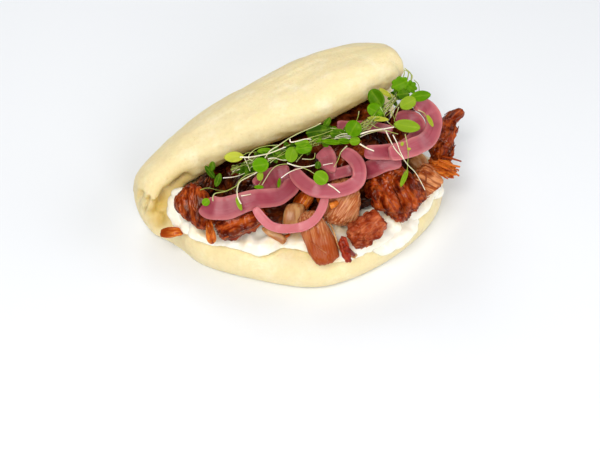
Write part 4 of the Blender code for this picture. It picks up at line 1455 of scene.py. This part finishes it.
@dataclass
class Sprouts:
    """Loose seedlings laid along the mouth under the lid: leaves and stems that show, over a tangle of others."""

    # The leaves that show: the middle, the half length and half width, the turn, tilt and lean, the tone, the outline.
    leaves: tuple[Leaf, ...] = (
        Leaf((39.3, 9.7, 51.1), (3.5, 2.9), 25, 8, -10, 0.42, Blade.LOBED),
        Leaf((42.8, 8.4, 49.7), (2.7, 2.4), -35, -8, 12, 0.36, Blade.LOBED),
        Leaf((39.2, 6.3, 49.1), (2.5, 2.0), 10, 0, 0, 0.2, Blade.LOBED),
        Leaf((44.5, 3.3, 49.2), (3.6, 2.0), 8, 10, 5, 0.34, Blade.OVAL),
        Leaf((39.4, 2.1, 48.3), (3.3, 2.4), 28, 0, 0, 0.62, Blade.ROUND),
        Leaf((29.2, 6.8, 49.3), (3.8, 2.9), -55, 12, -12, 0.24, Blade.ROUND),
        Leaf((26.5, 2.0, 48.5), (3.2, 2.6), -20, -8, 5, 0.4, Blade.ROUND),
        Leaf((26.4, -1.3, 47.5), (3.6, 0.9), -4, 0, 0, 0.86, Blade.FOLDED),
        Leaf((33.2, 8.9, 49.2), (2.5, 0.9), -35, 0, 0, 0.88, Blade.FOLDED),
        Leaf((35.6, 7.1, 47.6), (1.6, 0.7), -65, 0, 0, 0.8, Blade.FOLDED),
        Leaf((35.1, -7.4, 46.7), (4.3, 2.3), -8, 0, 0, 0.58, Blade.OVAL),
        Leaf((15.5, -4.5, 48.9), (3.2, 3.1), 60, 5, 10, 0.34, Blade.ROUND),
        Leaf((15.1, -7.7, 46.0), (2.0, 1.6), 10, 0, 0, 0.5, Blade.ROUND),
        Leaf((28.6, -22.0, 36.5), (3.1, 0.9), 68, 0, 0, 0.56, Blade.FOLDED),
        Leaf((44.7, -6.2, 45.2), (2.2, 0.8), -62, 0, 0, 0.7, Blade.FOLDED),
        Leaf((29.0, -17.2, 48.9), (0.8, 0.6), 80, 0, 0, 0.7, Blade.ROUND),
        Leaf((31.1, -18.8, 47.2), (0.7, 0.5), 0, 0, 0, 0.75, Blade.ROUND),
        Leaf((-27.4, 0.0, 44.8), (3.1, 1.9), 4, 0, 0, 0.86, Blade.OVAL),
        Leaf((-19.2, -5.2, 43.0), (3.0, 2.7), 10, 0, 0, 0.44, Blade.ROUND),
        Leaf((-20.2, -7.2, 39.8), (1.7, 1.2), 82, 0, 0, 0.62, Blade.ROUND),
        Leaf((-21.5, -9.6, 37.0), (1.6, 0.7), 0, 0, 0, 0.4, Blade.FOLDED),
        Leaf((-13.9, -9.3, 36.2), (1.7, 0.6), 82, 0, 0, 0.3, Blade.FOLDED),
        Leaf((-40.5, -7.9, 34.3), (1.5, 1.4), 40, 0, 0, 0.48, Blade.ROUND),
        Leaf((-34.2, 5.0, 37.8), (1.8, 1.2), 80, 10, 0, 0.1, Blade.ROUND),
        Leaf((-35.4, 3.9, 36.2), (2.7, 1.1), -52, 0, 15, 0.06, Blade.OVAL),
        Leaf((-33.6, 0.0, 35.3), (2.3, 1.2), 72, 0, 0, 0.12, Blade.OVAL),
        Leaf((-30.4, -14.3, 36.2), (2.3, 0.8), -68, 0, 0, 0.6, Blade.FOLDED),
        Leaf((-16.3, -1.3, 45.4), (2.5, 1.1), 2, 0, 0, 0.3, Blade.OVAL),
        Leaf((-8.1, -5.6, 44.8), (3.0, 2.3), 75, 8, 12, 0.52, Blade.ROUND),
        Leaf((-3.3, -5.6, 46.6), (3.1, 2.0), 8, 10, 0, 0.36, Blade.ROUND),
        Leaf((-3.6, -4.4, 48.0), (2.3, 1.3), 6, -6, 0, 0.5, Blade.OVAL),
        Leaf((3.8, -0.5, 48.0), (3.9, 2.2), 10, 6, 0, 0.02, Blade.OVAL),
        Leaf((2.8, -2.2, 45.9), (1.9, 1.3), -8, 0, 0, 0.3, Blade.ROUND),
        Leaf((-12.5, -2.2, 43.5), (1.8, 1.3), 30, 0, 0, 0.3, Blade.ROUND),
        Leaf((-0.7, -16.2, 40.9), (2.8, 2.6), -35, 0, 0, 0.5, Blade.ROUND),
        Leaf((0.2, -10.6, 41.7), (1.4, 1.2), 80, 0, 0, 0.08, Blade.ROUND),
        Leaf((-23.3, -3.0, 39.8), (1.9, 0.8), 60, 0, 0, 0.12, Blade.OVAL),
        Leaf((10.5, -3.0, 46.7), (2.8, 1.8), 0, 0, 0, 0.14, Blade.OVAL),
        Leaf((7.2, -4.8, 45.4), (3.2, 1.0), -5, 0, 0, 0.34, Blade.FOLDED),
        Leaf((7.6, 0.8, 49.5), (2.1, 1.1), 58, 0, 0, 0.12, Blade.OVAL),
        Leaf((7.8, -0.9, 47.0), (1.8, 1.3), 20, 0, 0, 0.2, Blade.ROUND),
        Leaf((11.7, -5.9, 45.4), (2.1, 1.1), -6, 0, 0, 0.3, Blade.FOLDED),
        Leaf((-10.7, -4.4, 42.9), (1.6, 0.9), -40, 0, 0, 0.2, Blade.ROUND),
        Leaf((-5.3, -5.0, 45.2), (1.8, 1.1), -30, 0, 0, 0.16, Blade.ROUND),
    )
    # The stems that show: the points, the radius and the tone.
    stems: tuple[Stem, ...] = (
        Stem(((17.4, -6.6, 47.7), (21.7, -6.2, 47.5), (26.5, -6.0, 46.7), (30.4, -6.7, 47.1)), 0.3, 1.0),
        Stem(((26.2, -5.8, 46.7), (28.6, -7.5, 46.0), (31.1, -9.0, 45.5)), 0.2, 0.6),
        Stem(((26.3, -8.9, 48.4), (26.1, -13.3, 48.2), (25.9, -18.3, 48.4), (27.6, -21.0, 46.4),
              (30.0, -21.3, 42.0), (32.8, -21.7, 37.9), (34.4, -23.1, 34.6), (35.9, -25.0, 30.8)), 0.2, 0.9),
        Stem(((26.9, -13.6, 50.6), (27.4, -16.4, 49.1), (27.5, -19.1, 47.6), (28.1, -21.5, 45.8)), 0.19, 1.0),
        Stem(((31.2, -14.4, 50.4), (31.0, -16.9, 48.4), (30.6, -19.3, 46.3), (30.1, -20.8, 43.0),
              (29.9, -21.2, 39.4), (28.9, -21.3, 36.3)), 0.15, 0.45),
        Stem(((33.8, 5.5, 48.5), (32.8, 2.0, 47.0), (32.8, -1.0, 45.7), (32.8, -2.1, 44.7)), 0.14, 0.5),
        Stem(((37.2, 4.1, 47.3), (34.3, 2.7, 46.4), (30.6, 1.2, 45.4)), 0.16, 0.5),
        Stem(((35.5, 1.3, 48.3), (33.8, -0.4, 46.3), (32.6, -1.7, 44.9)), 0.14, 0.5),
        Stem(((28.5, 2.2, 49.6), (29.2, -0.0, 47.9), (29.4, -1.5, 46.7)), 0.13, 0.55),
        Stem(((19.7, 0.7, 51.6), (18.8, -0.7, 50.3), (17.6, -2.0, 49.4)), 0.14, 0.5),
        Stem(((15.4, -11.5, 48.0), (17.3, -13.5, 47.2), (19.3, -15.3, 46.8)), 0.28, 1.0),
        Stem(((11.8, -8.5, 45.4), (9.1, -9.7, 44.3), (7.3, -11.7, 42.9), (5.3, -13.0, 41.3)), 0.15, 0.6),
        Stem(((13.9, -5.8, 48.1), (11.3, -4.7, 47.9), (8.8, -4.4, 47.0)), 0.15, 0.85),
        Stem(((14.1, -6.2, 47.4), (11.5, -5.2, 47.3), (8.7, -4.7, 46.8)), 0.15, 0.95),
        Stem(((13.8, -6.3, 46.6), (11.1, -5.3, 46.6), (8.3, -4.6, 46.4)), 0.15, 0.8),
        Stem(((13.4, -3.2, 47.3), (11.0, -1.6, 47.7), (8.4, -0.3, 47.8)), 0.14, 0.5),
        Stem(((17.2, -7.1, 46.7), (20.0, -6.7, 47.0), (24.4, -6.3, 46.7), (27.3, -6.9, 46.3)), 0.14, 0.7),
        Stem(((35.5, 6.7, 48.0), (35.0, 8.6, 49.4), (36.1, 9.6, 50.6)), 0.16, 0.7),
        Stem(((45.1, 10.5, 50.7), (46.0, 8.7, 50.0), (45.6, 6.5, 49.0), (44.4, 5.6, 48.2)), 0.14, 0.3),
        Stem(((41.6, -2.0, 47.8), (43.4, -3.5, 47.1), (44.2, -5.5, 45.6)), 0.16, 0.6),
        Stem(((23.4, -2.2, 46.7), (25.3, -4.2, 46.0), (27.8, -5.6, 46.0)), 0.14, 0.5),
        Stem(((-25.5, -1.1, 45.2), (-22.2, -2.3, 45.2), (-18.0, -3.1, 45.6), (-15.1, -3.2, 45.7),
              (-11.2, -2.7, 45.9), (-9.0, -2.6, 46.2)), 0.24, 0.92),
        Stem(((-22.6, -1.3, 44.0), (-21.6, -0.5, 44.9), (-19.1, 0.3, 45.8), (-15.4, 0.2, 46.1),
              (-11.3, -0.9, 46.3)), 0.16, 0.6),
        Stem(((-17.2, -3.8, 44.5), (-14.8, -2.4, 45.9), (-11.6, -1.6, 46.6), (-7.5, -0.6, 47.7),
              (-4.0, -0.3, 48.8), (-0.6, -0.2, 49.6), (2.9, 0.1, 50.1), (5.2, 0.4, 50.6)), 0.2, 0.72),
        Stem(((-7.5, -2.6, 49.6), (-7.4, -3.5, 48.9), (-5.0, -4.0, 49.1), (-2.5, -4.3, 49.5),
              (-0.5, -4.9, 49.4)), 0.22, 0.98),
        Stem(((-23.8, -0.2, 43.8), (-23.3, -1.9, 42.2), (-22.9, -4.2, 40.3)), 0.17, 0.8),
        Stem(((-22.8, -1.8, 44.4), (-21.1, -3.5, 43.5), (-20.0, -4.4, 43.1)), 0.15, 0.6),
        Stem(((-38.2, -8.6, 34.7), (-37.6, -7.0, 35.4), (-36.2, -6.0, 35.4), (-32.6, -6.1, 35.3),
              (-29.2, -7.3, 37.9), (-27.3, -6.0, 39.0), (-24.5, -5.5, 40.1), (-21.3, -5.9, 40.9),
              (-19.0, -5.8, 42.1)), 0.2, 0.55),
        Stem(((-29.8, -14.9, 36.6), (-30.3, -13.1, 38.0), (-29.8, -10.6, 39.4), (-27.7, -7.4, 39.6),
              (-24.4, -6.3, 39.8), (-21.5, -6.5, 41.1), (-19.1, -6.1, 42.3)), 0.24, 0.85),
        Stem(((-19.8, -7.9, 35.8), (-18.3, -6.9, 36.9), (-16.0, -5.6, 38.8), (-13.6, -5.1, 40.5),
              (-10.7, -6.5, 41.9), (-7.8, -8.8, 42.6), (-5.4, -10.6, 42.1), (-3.4, -12.2, 41.5),
              (-1.5, -14.3, 40.4)), 0.17, 0.6),
        Stem(((-13.3, -9.8, 39.0), (-9.9, -9.5, 40.6), (-7.0, -9.9, 41.5), (-5.4, -10.4, 41.9)), 0.18, 0.95),
        Stem(((-10.3, -7.6, 43.4), (-7.7, -9.5, 42.8), (-4.8, -10.9, 42.7), (-1.2, -11.2, 42.8)), 0.22, 0.95),
        Stem(((-4.0, -5.7, 41.5), (-0.3, -6.9, 41.4), (0.9, -5.6, 42.8)), 0.16, 0.6),
        Stem(((2.3, -10.0, 40.4), (4.1, -10.3, 40.6), (5.8, -10.7, 40.9)), 0.16, 1.0),
        Stem(((1.6, -17.1, 37.9), (3.3, -18.8, 37.0), (4.8, -20.7, 35.9)), 0.28, 1.0),
        Stem(((-32.0, -1.0, 36.8), (-28.7, -2.3, 37.4), (-26.2, -2.7, 37.9), (-23.6, -2.7, 38.6)), 0.17, 0.9),
        Stem(((-16.2, -4.1, 44.0), (-14.2, -4.7, 44.4), (-11.8, -6.4, 44.2), (-9.1, -7.4, 44.3)), 0.18, 0.85),
        Stem(((8.4, -0.4, 47.9), (10.2, -1.5, 47.8), (11.5, -3.3, 47.1), (13.2, -4.7, 46.4)), 0.16, 0.5),
        Stem(((-21.2, -7.6, 35.5), (-20.3, -7.1, 36.2), (-18.8, -6.2, 37.4)), 0.14, 0.5),
        Stem(((-40.9, -1.8, 34.5), (-37.9, -1.6, 34.3), (-34.8, -2.3, 32.9), (-31.8, -3.2, 32.2)), 0.15, 0.3),
        Stem(((-28.6, -11.2, 36.5), (-26.6, -11.7, 36.8), (-25.2, -11.9, 37.0)), 0.17, 0.95),
        Stem(((-25.4, -0.6, 44.2), (-22.5, 0.1, 45.1), (-19.4, -0.4, 45.0), (-15.2, -1.2, 44.9)), 0.13, 0.4),
        Stem(((-15.7, -4.9, 42.6), (-13.2, -4.1, 43.5), (-9.9, -3.1, 44.5), (-7.5, -2.8, 45.3)), 0.15, 0.5),
        Stem(((-18.8, -5.1, 42.3), (-15.6, -4.5, 43.6), (-11.7, -4.1, 44.0), (-7.1, -3.7, 45.1)), 0.15, 0.6),
        Stem(((-1.9, -3.8, 48.9), (0.5, -3.2, 48.5), (4.6, -2.5, 48.0), (8.7, -2.5, 48.7)), 0.15, 0.5),
        Stem(((-6.8, -7.2, 42.3), (-5.1, -6.6, 43.6), (-2.3, -5.9, 45.5), (-0.1, -5.0, 47.0)), 0.14, 0.45),
        Stem(((18.1, -4.7, 47.7), (20.6, -4.1, 48.3), (23.4, -2.8, 48.8), (25.5, -1.4, 49.3)), 0.14, 0.45),
        Stem(((29.0, -2.5, 47.3), (30.0, -4.0, 46.3), (31.7, -5.7, 45.4)), 0.14, 0.6),
        Stem(((29.4, 0.5, 48.4), (32.4, 2.2, 48.9), (36.4, 4.5, 49.1)), 0.16, 0.4),
        Stem(((25.4, -1.6, 49.1), (22.7, -2.7, 48.4), (19.2, -3.7, 48.5)), 0.13, 0.5),
        Stem(((41.5, 11.0, 48.0), (43.8, 13.4, 49.0), (45.2, 15.8, 50.0), (44.4, 17.6, 50.8)), 0.26, 0.55),
        Stem(((40.0, 12.0, 49.0), (43.0, 14.8, 50.0), (43.8, 16.8, 51.0)), 0.22, 0.6),
        Stem(((43.0, 9.5, 49.0), (45.0, 12.6, 49.4), (45.8, 15.0, 49.8), (44.8, 16.8, 50.6)), 0.24, 0.5),
        Stem(((44.5, 12.0, 48.4), (46.2, 14.2, 49.2), (45.0, 16.0, 50.2), (43.6, 17.2, 50.6)), 0.18, 0.65),
    )
    # The line that the tangle of other sprouts follows, in mm.
    core: tuple[tuple[float, float, float], ...] = (
        (-28.3, 0.3, 37.8), (-22.0, -1.4, 40.8), (-15.5, -2.0, 42.7), (-9.1, -2.1, 43.2), (-3.9, -3.2, 45.0),
        (3.6, -1.3, 44.8), (9.7, -2.2, 44.7), (15.5, -3.7, 46.1), (22.3, -2.1, 46.5), (28.5, 1.8, 47.0),
        (34.7, 5.7, 47.6), (40.4, 10.0, 48.5))
    core_steps: int = 120
    tangle_stems: int = 90
    tangle_leaves: int = 60
    tangle_r: float = 2.3  # mm
    sunk: float = 0.8  # mm, how much deeper its leaves lie than its stems
    thick: float = 0.07  # of a leaf, as a share of its half width
    sides: int = 7  # of a stem
    seed: int = 11

    def tangle(self) -> tuple[list[Leaf], list[Stem]]:
        """The shaded leaves and stems that fill the tangle, most of them along it."""
        chance = random.Random(self.seed)
        core = spline([Vector(point) for point in self.core], self.core_steps)

        def near(n: int) -> Vector:
            """A place at random round the nth step of the tangle's line."""
            angle, out = chance.uniform(0, math.tau), self.tangle_r * math.sqrt(chance.random())
            across = RIGHTWARD.cross(OUTWARD)
            middle = core[min(max(n, 0), self.core_steps - 1)]
            return middle + (across * math.cos(angle) + OUTWARD * math.sin(angle)) * out

        stems = []
        for _ in range(self.tangle_stems):
            start, run = chance.randrange(-6, 110), chance.randrange(14, 34)
            line = tuple(tuple(near(start + run * k // 3)) for k in range(4))
            stems.append(Stem(line, chance.uniform(0.12, 0.2), chance.choice((0.1, 0.25, 0.4, 0.55, 0.75))))
        leaves = []
        for _ in range(self.tangle_leaves):
            half = chance.uniform(1.2, 2.6)
            place = tuple(near(chance.randrange(2, self.core_steps - 1)) - OUTWARD * self.sunk)
            leaves.append(Leaf(place, (half, half * chance.uniform(0.5, 0.8)), chance.uniform(0, 360),
                               chance.uniform(-50, 50), chance.uniform(-40, 40),
                               chance.choice((0.0, 0.06, 0.14, 0.24, 0.34)), chance.choice((Blade.ROUND, Blade.OVAL))))
        return leaves, stems

    def blank(self, blade: Blade) -> bpy.types.Object:
        """Makes a leaf to be placed many times, with a half length and a half width of 1.

        Args:
            blade: Its outline.

        Returns:
            The leaf, in no collection.
        """
        rings, steps = 4, 28 if blade is Blade.LOBED else 20
        bm = bmesh.new()
        skins = []
        for side in (1, -1):
            rows = [[bm.verts.new((0, 0, side * self.thick))]]
            for k in range(1, rings + 1):
                row = []
                for n in range(steps):
                    angle = math.tau * n / steps
                    reach = blade.edge(angle) * k / rings
                    x, y = reach * math.cos(angle), reach * math.sin(angle)
                    high = blade.height(x, y) + side * self.thick * (1 - 0.6 * (k / rings) ** 4)
                    row.append(bm.verts.new((x, y, high)))
                rows.append(row)
            for n in range(steps):
                beside = (n + 1) % steps
                bm.faces.new((rows[0][0], rows[1][n], rows[1][beside]))
                for inner, outer in zip(rows[1:], rows[2:]):
                    bm.faces.new((inner[n], outer[n], outer[beside], inner[beside]))
            skins.append(rows)
        upper, lower = (rows[-1] for rows in skins)
        for n in range(steps):
            beside = (n + 1) % steps
            bm.faces.new((upper[n], lower[n], lower[beside], upper[beside]))
        mesh = as_mesh(bm, f"leaf_{blade.name.lower()}")
        write_vectors(mesh, "grain", [vert.co.copy() for vert in mesh.vertices])
        return bpy.data.objects.new(mesh.name, mesh)

    def points(self, leaves: Sequence[Leaf]) -> bpy.types.Mesh:
        """Makes one point for each leaf.

        Args:
            leaves: The leaves.

        Returns:
            The points, each with its leaf's turn, size and tone.
        """
        mesh = bpy.data.meshes.new("leaf_points")
        mesh.from_pydata([tuple(Vector(leaf.at) * MM) for leaf in leaves], [], [])
        base = Matrix((RIGHTWARD, OUTWARD.cross(RIGHTWARD), OUTWARD)).transposed()
        turns = []
        for leaf in leaves:
            own = Matrix.Rotation(math.radians(leaf.turn), 3, "Z")
            own = own @ Matrix.Rotation(math.radians(leaf.tilt), 3, "X")
            own = own @ Matrix.Rotation(math.radians(leaf.lean), 3, "Y")
            turns.append((base @ own).to_euler())
        write_vectors(mesh, "turn", turns)
        write_vectors(mesh, "size", [(leaf.half[0] * MM, leaf.half[1] * MM, leaf.half[1] * MM) for leaf in leaves])
        write_floats(mesh, "tone", [leaf.tone for leaf in leaves])
        return mesh

    def build(self) -> None:
        """Builds and dresses every leaf and stem."""
        leaf_skin, stem_skin = Sprout(Greens.LEAF).material(), Sprout(Greens.STEM).material()
        more_leaves, more_stems = self.tangle()
        leaves, stems = list(self.leaves) + more_leaves, list(self.stems) + more_stems
        for blade in Blade:
            name = f"sprout_leaves_{blade.name.lower()}"
            blank = self.blank(blade)
            mesh = grown(placing_tree(), name, self.points([leaf for leaf in leaves if leaf.blade is blade]),
                         {"Blank": blank, "Finish": leaf_skin})
            finished(name, mesh, leaf_skin, "sprouts", ["sprouts"])
            bpy.data.objects.remove(blank, do_unlink=True)
        mesh = grown(drawing_tree(), "sprout_stems", stem_lines(stems), {"Sides": self.sides, "Finish": stem_skin})
        finished("sprout_stems", mesh, stem_skin, "sprouts", ["sprouts"])


# The studio


@dataclass
class Studio:
    """The floor, the soft lights and the camera."""

    pitch: float = math.radians(48)  # how far down the camera looks
    swing: float = math.radians(20)  # how far it stands to the left
    roll: float = math.radians(0.5)
    away: float = 0.495
    aim: Vector = field(default_factory=lambda: Vector((-0.0025, 0, 0)))
    lens: float = 78.0
    sensor: float = 36.0
    sky: float = 0.16
    board: float = 3.0  # the floor's half side
    lit: tuple[float, float, float] = (0, 0, 0.02)  # what the lights face
    # Each light's name, place, power, side and tint.
    lights: tuple[tuple[str, tuple[float, float, float], float, float, str], ...] = (
        ("window", (-0.32, -0.4, 0.75), 5.4, 0.42, "fffdf8"),
        ("front", (-0.05, -0.7, 0.35), 1.7, 0.35, "ffffff"),
        ("side", (0.6, -0.25, 0.5), 2.0, 0.5, "ffffff"),
        ("back", (-0.1, 0.6, 0.6), 2.2, 0.5, "ffffff"))

    def camera(self) -> None:
        """Places the camera."""
        data = bpy.data.cameras.new("camera")
        data.lens, data.sensor_width = self.lens, self.sensor
        data.clip_start, data.clip_end = 0.01, 10.0
        flat = Matrix.Rotation(-self.swing, 3, "Z")
        forward = flat @ Vector((0, math.cos(self.pitch), -math.sin(self.pitch)))
        right = flat @ Vector((1, 0, 0))
        up = right.cross(forward)
        c, s = math.cos(self.roll), math.sin(self.roll)
        right, up = right * c + up * s, up * c - right * s
        place = Matrix((right, up, -forward)).transposed().to_4x4()
        place.translation = self.aim - forward * self.away
        camera = bpy.data.objects.new("camera", data)
        camera.matrix_world = place
        bpy.context.scene.collection.objects.link(camera)
        bpy.context.scene.camera = camera

    def light(self, name: str, place: Sequence[float], power: float, size: float, tint: str) -> None:
        """Adds one soft square light that faces the bun.

        Args:
            name: The light's name.
            place: Where it stands.
            power: How strong it is, in watts.
            size: Its side.
            tint: Its colour.
        """
        data = bpy.data.lights.new(name, "AREA")
        data.energy, data.size = power, size
        data.color = linear(tint)[:3]
        lamp = bpy.data.objects.new(name, data)
        lamp.location = place
        lamp.rotation_euler = (Vector(self.lit) - Vector(place)).to_track_quat("-Z", "Y").to_euler()
        bpy.context.scene.collection.objects.link(lamp)

    def build(self) -> None:
        """Builds the whole studio."""
        self.camera()
        for light in self.lights:
            self.light(*light)
        world = bpy.data.worlds.new("studio")
        world.use_nodes = True
        sky = world.node_tree.nodes["Background"]
        sky.inputs["Color"].default_value = (1, 1, 1, 1)
        sky.inputs["Strength"].default_value = self.sky
        bpy.context.scene.world = world
        bpy.context.scene.view_settings.view_transform = "Standard"
        bm = bmesh.new()
        bmesh.ops.create_grid(bm, x_segments=1, y_segments=1, size=self.board)
        mesh = bpy.data.meshes.new("floor")
        bm.to_mesh(mesh)
        bm.free()
        mesh.materials.append(PaleFloor().material())
        floor = bpy.data.objects.new("floor", mesh)
        bpy.context.scene.collection.objects.link(floor)


def main() -> None:
    """Builds everything in order."""
    logging.basicConfig(level=logging.INFO, format="%(name)s %(message)s")
    packed()
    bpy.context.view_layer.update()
    Studio().build()
    Bun().build()
    Sauce().build()
    MeatBed().build()
    MeatHeap().build()
    Onions().build()
    Sprouts().build()


if __name__ == "__main__":
    main()
